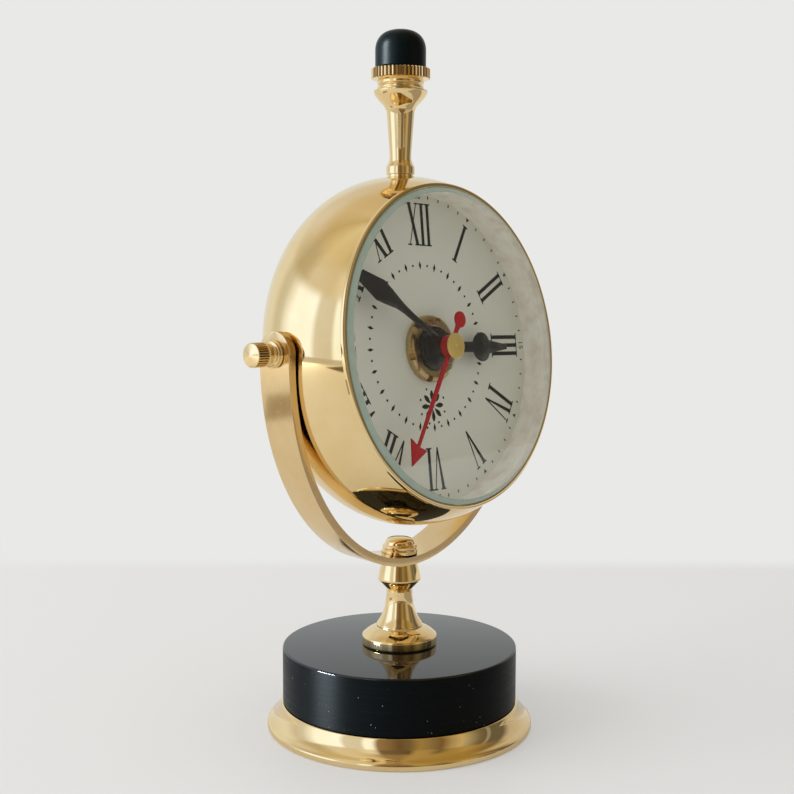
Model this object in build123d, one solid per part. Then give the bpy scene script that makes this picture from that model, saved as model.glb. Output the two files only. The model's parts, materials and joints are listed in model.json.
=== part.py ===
"""Desk clock: a brass pocket-watch case hung by two thumbscrews in a U-shaped yoke on a turned stand.

Millimetres, +Z up, the dial faces -Y. The origin lies on the table, on the axis of the column.
The case pieces are drawn in the dial frame: x to the right, y up, z out of the dial towards the viewer,
with its origin on the case axis, a little behind and below the pivots.
"""
from build123d import *
import math
import os

# Clearances and overruns used all over
RUN_GAP = 0.05
SEAT_GAP = 0.1
SEAM_GAP = 0.05
CUT_OVER = 2.0

# Foot ring, flared, recessed below
FOOT_R = 33.5
FOOT_H = 6.6
FOOT_EDGE_H = 1.5
FOOT_TOP_R = 29.9
FOOT_RECESS_R = 27.0
FOOT_RECESS_H = 3.2
FOOT_FLARE_share = 0.38

# Black base disc
BASE_R = 29.55
BASE_H = 14.0
BASE_CHAMFER = 0.5

# Screw and washer that hold the stand together from below
BASE_SCREW_R = 2.5
BASE_SCREW_HEAD_R = 4.6
BASE_SCREW_HEAD_H = 2.0
BASE_SCREW_REACH = 10.0
BASE_SCREW_SLOT_W = 1.2
BASE_SCREW_SLOT_H = 0.9
BASE_WASHER_R = 6.5
BASE_WASHER_H = 0.8
SCREW_HOLE_GAP = 0.2

# Turned column
COLUMN_H = 21.1
COLUMN_FLANGE_R = 9.5
COLUMN_FLANGE_H = 1.8
COLUMN_SHOULDER_R = 5.75
COLUMN_SHOULDER_H = 2.9
COLUMN_TRUMPET_R = 3.4
COLUMN_WAIST_R = 3.05
COLUMN_RING_R = 3.2
COLUMN_GROOVE_R = 2.85
COLUMN_BEAD_R = 5.4
COLUMN_BEAD_EDGE_H = 0.5
COLUMN_TOP_R = 4.5
# Heights of the trumpet's pull, its end, the ring's top, the groove, the bead's edge and the bead's pull
COLUMN_HEIGHT_shares = (0.36, 0.65, 0.672, 0.684, 0.805, 0.92)

# Yoke, one bent strip that leans forward; its rises are measured along the strip's plane
YOKE_T = 2.0
YOKE_W = 9.4
YOKE_SIDE_GAP = 0.4
YOKE_END_RISE = 5.0
YOKE_PIVOT_RISE = 54.4
YOKE_BEND_RISE = 56.2
YOKE_LEAN_DEG = 3.2
YOKE_END_ROUND_share = 0.47

# Dome-headed screw that clamps the yoke
DOME_SHANK_R = 2.0
DOME_SHANK_REACH = 8.0
DOME_FLANGE_R = 4.5
DOME_FLANGE_H = 2.3
DOME_R = 3.75
DOME_H = 2.3
DOME_SLOT_W = 0.9
DOME_SLOT_H = 0.9
DOME_FLANGE_STEP_share = 0.45

# Thumbscrews at the pivots
THUMB_SHANK_R = 1.5
THUMB_COLLAR_R = 3.15
THUMB_COLLAR_L = 1.2
THUMB_NECK_R = 2.1
THUMB_NECK_L = 1.7
THUMB_RING_L = 0.5
THUMB_HEAD_R = 2.7
THUMB_HEAD_L = 3.2
THUMB_CONE_L = 0.5
THUMB_TIP_R = 0.4
THUMB_TEETH = 30
THUMB_TOOTH_H = 0.2

# How the case hangs: it leans back about the pivots, and its origin lies below and behind them
CASE_LEAN_DEG = 7.2
CASE_DROP = 1.2
CASE_SET_BACK = 3.0

# Case shell, in the dial frame
CASE_CREST_R = 42.8
CASE_CREST_Z = 3.5
CASE_MOUTH_R = 39.0
CASE_MOUTH_Z = 16.8
CASE_BACK_ROUND_R = 18.0
CASE_WALL = 1.2
CASE_BACK_OPENING_R = 33.5

# Bezel and bevelled glass
BEZEL_PROUD = 0.2
BEZEL_RIM_W = 1.3
BEZEL_LIP_W = 0.6
BEZEL_H = 2.6
BEZEL_LEDGE_H = 1.0
BEZEL_SKIRT_L = 1.5
GLASS_T = 2.4
GLASS_BEVEL = 1.2

# Dial, its seat in the case, and the wall between dial and glass
DIAL_T = 0.5
DIAL_SEAT_W = 1.4
DIAL_SEAT_T = 0.6
DIAL_MARGIN = 0.4
SPACER_WALL = 0.5

# Back cover, pulls off backwards
COVER_T = 0.8
COVER_SKIRT_L = 1.7
COVER_SKIRT_WALL = 0.8
COVER_FIT_GAP = 0.1
COVER_STAND = 0.4
COVER_KNOB_GAP = 0.5
COVER_NOTCH_R = 5.0
COVER_NOTCH_IN = 1.6
COVER_RING_R = 26.0
COVER_RING_W = 1.4
COVER_RING_H = 0.3

# Neck and its nut
NECK_H = 20.75
NECK_SUNK = 2.5
NECK_FOOT_R = 3.5
NECK_WAIST_R = 2.65
NECK_STEM_R = 3.3
NECK_STEP_R = 3.6
NECK_BOWL_R = 6.0
NECK_CUP_R = 6.6
NECK_BORE_DEPTH = 9.0
NECK_SPIGOT_R = 1.25
NECK_SPIGOT_L = 4.6
NECK_NUT_FLATS = 4.6
NECK_NUT_T = 2.0
# Heights of the foot bead's top, the waist, the stem's top, the step, the bowl's pull and the cup's rim
NECK_HEIGHT_shares = (0.115, 0.235, 0.8, 0.812, 0.85, 0.97)

# Crown: knurled ring with a grooved skirt, black knob, stud
CROWN_SKIRT_R = 5.7
CROWN_SKIRT_H = 2.6
CROWN_SKIRT_GROOVE = 0.35
CROWN_RING_R = 7.2
CROWN_RING_H = 2.5
CROWN_TEETH = 45
CROWN_TOOTH_H = 0.35
CROWN_STUD_R = 1.5
KNOB_R = 6.2
KNOB_H = 9.4
KNOB_STRAIGHT_H = 4.6
KNOB_BORE_DEPTH = 5.0
# The point that the knob's dome passes through, as shares of its radius and of the dome's height
KNOB_DOME_shares = (0.84, 0.66)

# Pivot bushes in the case wall
BUSH_COLLAR_R = 4.0
BUSH_COLLAR_L = 3.2
BUSH_SPIGOT_R = 2.6
BUSH_FACE_R = 3.3

# Quartz movement
MOVE_SIDE = 50.0
MOVE_T = 14.7
MOVE_CORNER_R = 6.0
MOVE_WALL = 1.0
MOVE_BUSH_R = 4.0
MOVE_BUSH_L = 3.1
MOVE_BOSS_R = 1.6
MOVE_PIVOT_DEPTH = 0.6
WASHER_R = 9.0
WASHER_T = 0.5
NUT_R = 8.0
NUT_T = 1.8
NUT_NOTCH_W = 1.6
NUT_NOTCH_D = 1.2
NUT_NOTCHES = 6
NUT_CHAMFER = 0.5

# Battery bay, battery, contacts
BATTERY_R = 6.0
BATTERY_L = 29.0
BATTERY_NUB_R = 2.0
BATTERY_NUB_L = 1.1
BAY_GAP = 0.3
CONTACT_T = 0.4
CONTACT_W = 8.0
CONTACT_BUMP_R = 1.8
CONTACT_BUMP_L = 1.3

# Circuit board and motor
BOARD_W = 16.0
BOARD_H = 9.0
BOARD_T = 0.8
BOARD_X = -14.0
BOARD_Y = 18.5
BOARD_Z = -4.5
POST_R = 1.3
STATOR_T = 0.8
STATOR_W = 17.0
STATOR_H = 7.5
STATOR_LEG_W = 3.0
STATOR_LEG_H = 8.5
STATOR_ROTOR_GAP = 0.5
STATOR_ROTOR_AT_share = 0.33
COIL_CORE_H = 3.0
COIL_R = 2.8
COIL_L = 9.5

# Gears: module, teeth, and the thickness of a wheel
MOTION_MODULE = 0.56
TRAIN_MODULE = 0.3
WHEEL_T = 0.8
LAYER_GAP = 0.3
CANNON_TEETH = 10
MOTION_TEETH = 30
MOTION_PINION_TEETH = 8
HOUR_TEETH = 32
SECOND_PINION_TEETH = 8
THIRD_TEETH = 64
THIRD_PINION_TEETH = 8
CENTRE_TEETH = 60
SECOND_TEETH = 48
INTERMEDIATE_PINION_TEETH = 8
INTERMEDIATE_TEETH = 40
ROTOR_PINION_TEETH = 8
# Tooth form: tip and root heights in modules, half thicknesses in pitches
TOOTH_TIP_share = 0.75
TOOTH_ROOT_share = 1.1
TOOTH_TIP_HALF_share = 0.09
TOOTH_ROOT_HALF_share = 0.24
MOTION_DIRECTION_DEG = 90.0
THIRD_DIRECTION_DEG = 180.0
INTERMEDIATE_DIRECTION_DEG = 20.0
ROTOR_DIRECTION_DEG = 60.0

# Arbors and tubes
HOUR_TUBE_R = 2.5
MINUTE_TUBE_R = 1.7
SECOND_ARBOR_R = 0.6
MOTION_ARBOR_R = 1.0
THIN_ARBOR_R = 0.5
ROTOR_MAGNET_R = 1.6
ROTOR_MAGNET_L = 2.0
SETTING_KNOB_R = 4.0
SETTING_KNOB_L = 1.5
SETTING_TEETH = 16
SETTING_TOOTH_H = 0.3

# Hands: thickness, hub heights over the piece below, blades
HAND_T = 0.5
HUB_GAP = 0.3
HOUR_HUB_R = 3.6
HOUR_HUB_L = 1.4
HOUR_TIP_R = 27.1
HOUR_BULB_R = 3.6
HOUR_BULB_AT = 15.6
HOUR_SHAFT_W = 2.6
HOUR_POINT_START_DEG = 30.0
HOUR_POINT_HOLLOW_share = 0.25
HOUR_DEG = 91.6
MINUTE_HUB_R = 3.0
MINUTE_HUB_L = 1.1
MINUTE_TIP_R = 34.8
MINUTE_WIDE_AT = 27.8
MINUTE_WIDE_W = 5.4
MINUTE_ROOT_W = 1.3
MINUTE_DEG = 298.4
SECOND_HUB_R = 1.6
SECOND_HUB_L = 0.8
SECOND_TIP_R = 32.2
SECOND_ARROW_L = 5.2
SECOND_ARROW_W = 6.2
SECOND_BLADE_W = 0.9
SECOND_TAIL_AT = 7.6
SECOND_TAIL_R = 2.0
SECOND_DEG = 213.6
TUBE_PROUD = 0.3
CAP_R = 3.1
CAP_H = 1.4
CAP_GLASS_GAP = 0.6
CAP_DOME_share = 0.55

# Levels of the stand, upwards from the table
base_top = FOOT_H + BASE_H
column_top = base_top + COLUMN_H
yoke_bottom = column_top + SEAT_GAP
yoke_top = yoke_bottom + YOKE_T
yoke_lean = math.radians(YOKE_LEAN_DEG)
pivot_y = -YOKE_PIVOT_RISE * math.sin(yoke_lean)
pivot_z = yoke_bottom + YOKE_PIVOT_RISE * math.cos(yoke_lean)
yoke_inner = CASE_CREST_R + YOKE_SIDE_GAP
yoke_outer = yoke_inner + YOKE_T

# Levels of the case, along the dial frame's z
bezel_front = CASE_MOUTH_Z + BEZEL_H
ledge_z = CASE_MOUTH_Z + BEZEL_LEDGE_H
glass_front = ledge_z + GLASS_T
second_top = ledge_z - CAP_GLASS_GAP - CAP_H
second_hub_z = second_top - SECOND_HUB_L
minute_tube_end = second_hub_z - HUB_GAP
minute_top = minute_tube_end - TUBE_PROUD
minute_hub_z = minute_top - MINUTE_HUB_L
hour_tube_end = minute_hub_z - HUB_GAP
hour_top = hour_tube_end - TUBE_PROUD
hour_hub_z = hour_top - HOUR_HUB_L
bush_end = hour_hub_z - HUB_GAP
move_front = bush_end - MOVE_BUSH_L
move_back = move_front - MOVE_T
cavity_front = move_front - MOVE_WALL
cavity_back = move_back + MOVE_WALL
dial_back = move_front + WASHER_T
dial_z = dial_back + DIAL_T
setting_knob_back = move_back - SEAT_GAP - SETTING_KNOB_L

# Layers of the gear train, from the dial backwards: the front face of each wheel
layer_pitch = WHEEL_T + LAYER_GAP
hour_layer = cavity_front - LAYER_GAP
motion_layer = hour_layer - layer_pitch
centre_layer = motion_layer - layer_pitch
third_layer = centre_layer - layer_pitch
second_layer = third_layer - layer_pitch
intermediate_layer = second_layer - layer_pitch
rotor_layer = intermediate_layer - layer_pitch

# The outline of the shell: a front arc from the mouth to the crest, then a rounder arc to the back
mouth_run = CASE_MOUTH_Z - CASE_CREST_Z
mouth_fall = CASE_CREST_R - CASE_MOUTH_R
front_round_r = (mouth_run ** 2 + mouth_fall ** 2) / (2 * mouth_fall)

# Places: the strip on its column, the pivots, the case that hangs on them, and the pivots in the dial frame
yoke_place = Pos(0, 0, yoke_bottom) * Rot(YOKE_LEAN_DEG, 0, 0)
pivot_place = Pos(0, pivot_y, pivot_z)
case_hang = Rot(-CASE_LEAN_DEG, 0, 0) * Pos(0, CASE_SET_BACK, -CASE_DROP)
case_place = pivot_place * case_hang * Rot(90, 0, 0)
dial_pivot = Pos(0, CASE_DROP, CASE_SET_BACK)


def rz(radius, height):
    """A point of a turned outline."""
    return (radius, 0, height)


def turned(outline):
    """Turn a closed outline about the Z axis."""
    return revolve(make_face(outline), Axis.Z)


def disc(radius, low, high, bore=0):
    """A round plate or tube between two levels."""
    plate = extrude(Pos(0, 0, low) * Circle(radius), high - low)
    if bore > 0:
        plate -= extrude(Pos(0, 0, low) * Circle(bore), high - low)
    return plate


def along_x(radius, low, high):
    """A round bar along X."""
    return Pos(low, 0, 0) * Rot(0, 90, 0) * disc(radius, 0, high - low)


def toothed(radius, teeth, tooth_height):
    """A round outline with straight-sided knurl teeth."""
    points = []
    for step in range(2 * teeth):
        angle = math.pi * step / teeth
        reach = radius - tooth_height * (step % 2)
        points.append((reach * math.cos(angle), reach * math.sin(angle)))
    return make_face(Polyline(*points, close=True))


def clockwise(degrees_past_twelve):
    """Turn a hand drawn at twelve to its place on the dial."""
    return Rot(0, 0, -degrees_past_twelve)


def foot_ring():
    hole_r = BASE_SCREW_R + SCREW_HOLE_GAP
    flare_r = FOOT_TOP_R + FOOT_FLARE_share * (FOOT_R - FOOT_TOP_R)
    flare_z = FOOT_EDGE_H + FOOT_FLARE_share * (FOOT_H - FOOT_EDGE_H)
    sides = Polyline(
        rz(FOOT_TOP_R, FOOT_H),
        rz(hole_r, FOOT_H),
        rz(hole_r, FOOT_RECESS_H),
        rz(FOOT_RECESS_R, FOOT_RECESS_H),
        rz(FOOT_RECESS_R, 0),
        rz(FOOT_R, 0),
        rz(FOOT_R, FOOT_EDGE_H),
    )
    flare = ThreePointArc(rz(FOOT_R, FOOT_EDGE_H), rz(flare_r, flare_z), rz(FOOT_TOP_R, FOOT_H))
    return turned(sides + flare)


def base_disc():
    hole_r = BASE_SCREW_R + SCREW_HOLE_GAP
    return turned(Polyline(
        rz(hole_r, FOOT_H),
        rz(BASE_R - BASE_CHAMFER, FOOT_H),
        rz(BASE_R, FOOT_H + BASE_CHAMFER),
        rz(BASE_R, base_top - BASE_CHAMFER),
        rz(BASE_R - BASE_CHAMFER, base_top),
        rz(hole_r, base_top),
        close=True,
    ))


def base_washer():
    low = FOOT_RECESS_H - BASE_WASHER_H
    return disc(BASE_WASHER_R, low, FOOT_RECESS_H, bore=BASE_SCREW_R + SCREW_HOLE_GAP)


def base_screw():
    head_top = FOOT_RECESS_H - BASE_WASHER_H
    head_low = head_top - BASE_SCREW_HEAD_H
    screw = disc(BASE_SCREW_HEAD_R, head_low, head_top)
    screw += disc(BASE_SCREW_R, head_top, base_top + BASE_SCREW_REACH)
    slot = Box(2 * BASE_SCREW_HEAD_R, BASE_SCREW_SLOT_W, 2 * BASE_SCREW_SLOT_H)
    return screw - Pos(0, 0, head_low) * slot


def column():
    levels = [base_top + share * COLUMN_H for share in COLUMN_HEIGHT_shares]
    trumpet_pull, trumpet_end, ring_at, groove_at, bead_at, bead_pull = levels
    flange_top = base_top + COLUMN_FLANGE_H
    shoulder_top = flange_top + COLUMN_SHOULDER_H
    low = Polyline(
        rz(BASE_SCREW_R, base_top),
        rz(COLUMN_FLANGE_R, base_top),
        rz(COLUMN_FLANGE_R, flange_top),
        rz(COLUMN_SHOULDER_R, shoulder_top),
    )
    trumpet = Bezier(
        rz(COLUMN_SHOULDER_R, shoulder_top),
        rz(COLUMN_TRUMPET_R, trumpet_pull),
        rz(COLUMN_WAIST_R, trumpet_end),
    )
    middle = Polyline(
        rz(COLUMN_WAIST_R, trumpet_end),
        rz(COLUMN_RING_R, trumpet_end),
        rz(COLUMN_RING_R, ring_at),
        rz(COLUMN_GROOVE_R, groove_at),
        rz(COLUMN_BEAD_R, bead_at - COLUMN_BEAD_EDGE_H),
        rz(COLUMN_BEAD_R, bead_at),
    )
    bead = Bezier(rz(COLUMN_BEAD_R, bead_at), rz(COLUMN_BEAD_R, bead_pull), rz(COLUMN_TOP_R, column_top))
    high = Polyline(
        rz(COLUMN_TOP_R, column_top),
        rz(DOME_SHANK_R, column_top),
        rz(DOME_SHANK_R, column_top - DOME_SHANK_REACH),
        rz(0, column_top - DOME_SHANK_REACH),
        rz(0, base_top + BASE_SCREW_REACH),
        rz(BASE_SCREW_R, base_top + BASE_SCREW_REACH),
        rz(BASE_SCREW_R, base_top),
    )
    return turned(low + trumpet + middle + bead + high)


def half_ellipse(half_width, rise):
    """The lower half of an ellipse about the end of the yoke's bend."""
    bend = EllipticalCenterArc((0, 0), half_width, rise, start_angle=180, arc_size=180)
    return Pos(0, 0, YOKE_BEND_RISE) * Rot(90, 0, 0) * bend


def yoke():
    """Bent strip, drawn upright and leant forward on a flat seat, with a spot face round each bush."""
    arm_top = YOKE_PIVOT_RISE + YOKE_END_RISE
    outline = half_ellipse(yoke_outer, YOKE_BEND_RISE) + half_ellipse(yoke_inner, YOKE_BEND_RISE - YOKE_T)
    for side in (-1, 1):
        outline += Polyline(
            rz(side * yoke_outer, YOKE_BEND_RISE),
            rz(side * yoke_outer, arm_top),
            rz(side * yoke_inner, arm_top),
            rz(side * yoke_inner, YOKE_BEND_RISE),
        )
    strip = extrude(make_face(outline), YOKE_W / 2, both=True)
    ends = strip.edges().filter_by(Axis.X).group_by(Axis.Z)[-1]
    strip = yoke_place * fillet(ends, YOKE_END_ROUND_share * YOKE_W)
    strip += disc(COLUMN_TOP_R, yoke_bottom, yoke_top)
    strip -= disc(yoke_outer, yoke_bottom - CUT_OVER, yoke_bottom)
    strip -= disc(DOME_SHANK_R + RUN_GAP, yoke_bottom - CUT_OVER, yoke_top + CUT_OVER)
    strip -= disc(DOME_FLANGE_R + SEAT_GAP, yoke_top, yoke_top + CUT_OVER)
    strip -= pivot_place * along_x(BUSH_FACE_R + SEAT_GAP, -yoke_inner, yoke_inner)
    reach = yoke_outer + CUT_OVER
    return strip - pivot_place * along_x(THUMB_SHANK_R + RUN_GAP, -reach, reach)


def yoke_dome_screw():
    seat = yoke_top + SEAT_GAP
    flange_step = seat + DOME_FLANGE_STEP_share * DOME_FLANGE_H
    flange_top = seat + DOME_FLANGE_H
    dome_top = flange_top + DOME_H
    step_r = (DOME_FLANGE_R + DOME_R) / 2
    sides = Polyline(
        rz(0, dome_top),
        rz(0, column_top - DOME_SHANK_REACH),
        rz(DOME_SHANK_R, column_top - DOME_SHANK_REACH),
        rz(DOME_SHANK_R, seat),
        rz(DOME_FLANGE_R, seat),
        rz(DOME_FLANGE_R, flange_step),
        rz(step_r, flange_top),
        rz(DOME_R, flange_top),
    )
    crown = Spline(rz(DOME_R, flange_top), rz(0, dome_top), tangents=((0, 0, 1), (-1, 0, 0)))
    slot = Box(2 * DOME_R, DOME_SLOT_W, 2 * DOME_SLOT_H)
    return turned(sides + crown) - Pos(0, 0, dome_top) * slot


def thumbscrew(side):
    """side is -1 on the left and 1 on the right, seen from the front."""
    seat = yoke_outer + SEAT_GAP
    tip = CASE_CREST_R - CASE_WALL - BUSH_COLLAR_L
    neck = seat + THUMB_COLLAR_L
    ring = neck + THUMB_NECK_L
    head = ring + THUMB_RING_L
    cone = head + THUMB_HEAD_L
    knurl_r = THUMB_HEAD_R - THUMB_TOOTH_H
    sides = Polyline(
        rz(0, cone + THUMB_CONE_L),
        rz(0, tip),
        rz(THUMB_SHANK_R, tip),
        rz(THUMB_SHANK_R, seat),
        rz(THUMB_COLLAR_R, seat),
        rz(THUMB_COLLAR_R, neck),
        rz(THUMB_NECK_R, neck),
    )
    flare = Bezier(rz(THUMB_NECK_R, neck), rz(THUMB_NECK_R, ring), rz(THUMB_HEAD_R, ring))
    end = Polyline(
        rz(THUMB_HEAD_R, ring),
        rz(THUMB_HEAD_R, head),
        rz(knurl_r, head),
        rz(knurl_r, cone),
        rz(THUMB_TIP_R, cone + THUMB_CONE_L),
        rz(0, cone + THUMB_CONE_L),
    )
    body = turned(sides + flare + end)
    body += extrude(Pos(0, 0, head) * toothed(THUMB_HEAD_R, THUMB_TEETH, THUMB_TOOTH_H), THUMB_HEAD_L)
    return pivot_place * Rot(0, side * 90, 0) * body


def shell_outline_r(level, inset):
    """Radius of the shell, or of a wall parallel to it, at a level of the dial frame."""
    run = level - CASE_CREST_Z
    arc_r = front_round_r if run > 0 else CASE_BACK_ROUND_R
    return CASE_CREST_R - arc_r + math.sqrt((arc_r - inset) ** 2 - run ** 2)


# Radii at the mouth of the case, from the outside in
bezel_r = CASE_MOUTH_R + BEZEL_PROUD
glass_r = bezel_r - BEZEL_RIM_W
spacer_r = shell_outline_r(CASE_MOUTH_Z, CASE_WALL) - SEAM_GAP
ledge_r = spacer_r - SPACER_WALL
dial_r = spacer_r + DIAL_MARGIN
dial_seat_r = dial_r - DIAL_SEAT_W


def shell_solid(inset, front, back):
    """The body enclosed by the shell, or by a wall parallel to it, between two levels."""
    front_mid = (front + CASE_CREST_Z) / 2
    back_mid = (back + CASE_CREST_Z) / 2
    crest = rz(shell_outline_r(CASE_CREST_Z, inset), CASE_CREST_Z)
    front_end = rz(shell_outline_r(front, inset), front)
    back_end = rz(shell_outline_r(back, inset), back)
    outline = ThreePointArc(front_end, rz(shell_outline_r(front_mid, inset), front_mid), crest)
    outline += ThreePointArc(crest, rz(shell_outline_r(back_mid, inset), back_mid), back_end)
    outline += Polyline(back_end, rz(0, back), rz(0, front), front_end)
    return turned(outline)


# The rim of the back opening lies where the back arc reaches the opening's radius
back_rim_run = CASE_BACK_OPENING_R - CASE_CREST_R + CASE_BACK_ROUND_R
back_rim_z = CASE_CREST_Z - math.sqrt(CASE_BACK_ROUND_R ** 2 - back_rim_run ** 2)
inner_rim_z = CASE_CREST_Z - math.sqrt((CASE_BACK_ROUND_R - CASE_WALL) ** 2 - back_rim_run ** 2)
case_outside = shell_solid(0, CASE_MOUTH_Z, back_rim_z)
case_cavity = shell_solid(CASE_WALL, CASE_MOUTH_Z, inner_rim_z)
case_outside_clear = shell_solid(-SEAM_GAP, CASE_MOUTH_Z, back_rim_z)
case_cavity_clear = shell_solid(CASE_WALL + SEAM_GAP, CASE_MOUTH_Z, inner_rim_z)

# The neck stands upright over the column: its seat is where the column's axis leaves the leaning shell
arc_centre = (case_place * Pos(0, CASE_CREST_R - front_round_r, CASE_CREST_Z)).position
neck_seat = arc_centre.Z + math.sqrt(front_round_r ** 2 - arc_centre.Y ** 2)
neck_top = neck_seat + NECK_H
crown_low = neck_top + SEAT_GAP
crown_ring_low = crown_low + CROWN_SKIRT_H
crown_ring_top = crown_ring_low + CROWN_RING_H
knob_top = crown_ring_top + KNOB_H


def case_shell():
    shell = case_outside - case_cavity
    shell -= disc(CASE_BACK_OPENING_R, back_rim_z, inner_rim_z)
    seat_band = disc(CASE_CREST_R, dial_back - DIAL_SEAT_T, dial_back, bore=dial_seat_r)
    shell += seat_band & shell_solid(CASE_WALL / 2, CASE_MOUTH_Z, inner_rim_z)
    reach = CASE_CREST_R + CUT_OVER
    shell -= dial_pivot * along_x(BUSH_SPIGOT_R + SEAM_GAP, -reach, reach)
    shell = case_place * shell
    return shell - disc(NECK_SPIGOT_R + SEAM_GAP, neck_seat - NECK_SPIGOT_L, neck_seat + CUT_OVER)


def pivot_bushes():
    """Two threaded bushes, let into the case wall where the thumbscrews enter."""
    outer_face = yoke_inner - SEAT_GAP
    collar_start = CASE_CREST_R - CASE_WALL - BUSH_COLLAR_L
    pair = []
    for side in (-1, 1):
        turn = dial_pivot * Rot(0, side * 90, 0)
        collar = (turn * disc(BUSH_COLLAR_R, collar_start, CASE_CREST_R)) & case_cavity_clear
        face = (turn * disc(BUSH_FACE_R, CASE_CREST_R - BUSH_COLLAR_L, outer_face)) - case_outside_clear
        bush = collar + turn * disc(BUSH_SPIGOT_R, collar_start, outer_face) + face
        bush -= turn * disc(THUMB_SHANK_R + RUN_GAP, collar_start - CUT_OVER, outer_face + CUT_OVER)
        pair.append(case_place * bush)
    return Compound(children=pair)


def bezel():
    skirt_low = CASE_MOUTH_Z - BEZEL_SKIRT_L
    widest = CASE_MOUTH_Z + BEZEL_LEDGE_H
    sides = Polyline(
        rz(glass_r + BEZEL_LIP_W, bezel_front),
        rz(glass_r, bezel_front),
        rz(glass_r, ledge_z),
        rz(ledge_r, ledge_z),
        rz(ledge_r, skirt_low),
        rz(spacer_r, skirt_low),
        rz(spacer_r, CASE_MOUTH_Z),
        rz(bezel_r, CASE_MOUTH_Z),
        rz(bezel_r, widest),
    )
    shoulder = Spline(
        rz(bezel_r, widest),
        rz(glass_r + BEZEL_LIP_W, bezel_front),
        tangents=((0, 0, 1), (-1, 0, 0)),
    )
    return case_place * turned(sides + shoulder)


def glass():
    return case_place * turned(Polyline(
        rz(0, ledge_z),
        rz(glass_r, ledge_z),
        rz(glass_r, glass_front - GLASS_BEVEL),
        rz(glass_r - GLASS_BEVEL, glass_front),
        rz(0, glass_front),
        close=True,
    ))


def dial_spacer():
    return case_place * disc(spacer_r, dial_z, CASE_MOUTH_Z - BEZEL_SKIRT_L, bore=ledge_r)


def dial():
    return case_place * disc(dial_r, dial_back, dial_z, bore=MOVE_BUSH_R)


def dial_washer():
    return case_place * disc(WASHER_R, move_front, dial_back, bore=MOVE_BUSH_R)


def dial_nut():
    nut = turned(Polyline(
        rz(MOVE_BUSH_R, dial_z),
        rz(NUT_R, dial_z),
        rz(NUT_R, dial_z + NUT_T - NUT_CHAMFER),
        rz(NUT_R - NUT_CHAMFER, dial_z + NUT_T),
        rz(MOVE_BUSH_R, dial_z + NUT_T),
        close=True,
    ))
    for step in range(NUT_NOTCHES):
        notch = Box(2 * NUT_NOTCH_D, NUT_NOTCH_W, 2 * NUT_T)
        nut -= Rot(0, 0, 360 * step / NUT_NOTCHES) * Pos(NUT_R, 0, dial_z + NUT_T) * notch
    return case_place * nut


def back_cover():
    plate_r = CASE_BACK_OPENING_R - COVER_FIT_GAP
    rim_front = back_rim_z - COVER_STAND + COVER_T
    skirt_front = rim_front + COVER_SKIRT_L
    plate_front = min(rim_front, setting_knob_back - COVER_KNOB_GAP)
    plate_back = plate_front - COVER_T
    cover = disc(plate_r, plate_back, plate_front)
    cover += disc(plate_r, plate_front, skirt_front, bore=plate_r - COVER_SKIRT_WALL)
    cover += disc(COVER_RING_R, plate_back - COVER_RING_H, plate_back, bore=COVER_RING_R - COVER_RING_W)
    notch = Pos(0, -plate_r - COVER_NOTCH_R + COVER_NOTCH_IN, 0) * disc(
        COVER_NOTCH_R, plate_back - CUT_OVER, skirt_front
    )
    return case_place * (cover - notch)


def neck():
    levels = [neck_seat + share * NECK_H for share in NECK_HEIGHT_shares]
    bead_z, waist_z, stem_z, step_z, bowl_z, rim_z = levels
    low = neck_seat - NECK_SUNK
    foot = Polyline(rz(0, low), rz(NECK_FOOT_R, low), rz(NECK_FOOT_R, bead_z))
    stem = Spline(
        rz(NECK_FOOT_R, bead_z),
        rz(NECK_WAIST_R, waist_z),
        rz(NECK_STEM_R, stem_z),
        tangents=((-1, 0, 1), (0, 0, 1)),
    )
    step = Polyline(rz(NECK_STEM_R, stem_z), rz(NECK_STEP_R, stem_z), rz(NECK_STEP_R, step_z))
    bowl = Bezier(rz(NECK_STEP_R, step_z), rz(NECK_BOWL_R, bowl_z), rz(NECK_CUP_R, rim_z))
    top = Polyline(
        rz(NECK_CUP_R, rim_z),
        rz(NECK_CUP_R, neck_top),
        rz(CROWN_STUD_R + RUN_GAP, neck_top),
        rz(CROWN_STUD_R + RUN_GAP, neck_top - NECK_BORE_DEPTH),
        rz(0, neck_top - NECK_BORE_DEPTH),
        rz(0, low),
    )
    body = turned(foot + stem + step + bowl + top) - case_place * case_outside_clear
    return body + disc(NECK_SPIGOT_R, neck_seat - NECK_SPIGOT_L, bead_z)


def neck_nut():
    """Six-sided nut inside the case, with flats to the front and back."""
    top = neck_seat - CASE_WALL
    hexagon = RegularPolygon(NECK_NUT_FLATS / 2, 6, major_radius=False)
    nut = extrude(Pos(0, 0, top - NECK_NUT_T) * hexagon, NECK_NUT_T)
    nut -= disc(NECK_SPIGOT_R, top - NECK_NUT_T, top)
    return nut & (case_place * case_cavity_clear)


def crown_ring():
    groove_z = crown_low + CROWN_SKIRT_H / 2
    ring = turned(Polyline(
        rz(CROWN_STUD_R, crown_low),
        rz(CROWN_SKIRT_R, crown_low),
        rz(CROWN_SKIRT_R, groove_z - CROWN_SKIRT_GROOVE),
        rz(CROWN_SKIRT_R - CROWN_SKIRT_GROOVE, groove_z),
        rz(CROWN_SKIRT_R, groove_z + CROWN_SKIRT_GROOVE),
        rz(CROWN_SKIRT_R, crown_ring_low),
        rz(CROWN_STUD_R, crown_ring_low),
        close=True,
    ))
    knurl = toothed(CROWN_RING_R, CROWN_TEETH, CROWN_TOOTH_H)
    ring += extrude(Pos(0, 0, crown_ring_low) * knurl, CROWN_RING_H)
    return ring - disc(CROWN_STUD_R, crown_ring_low, crown_ring_top)


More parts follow.
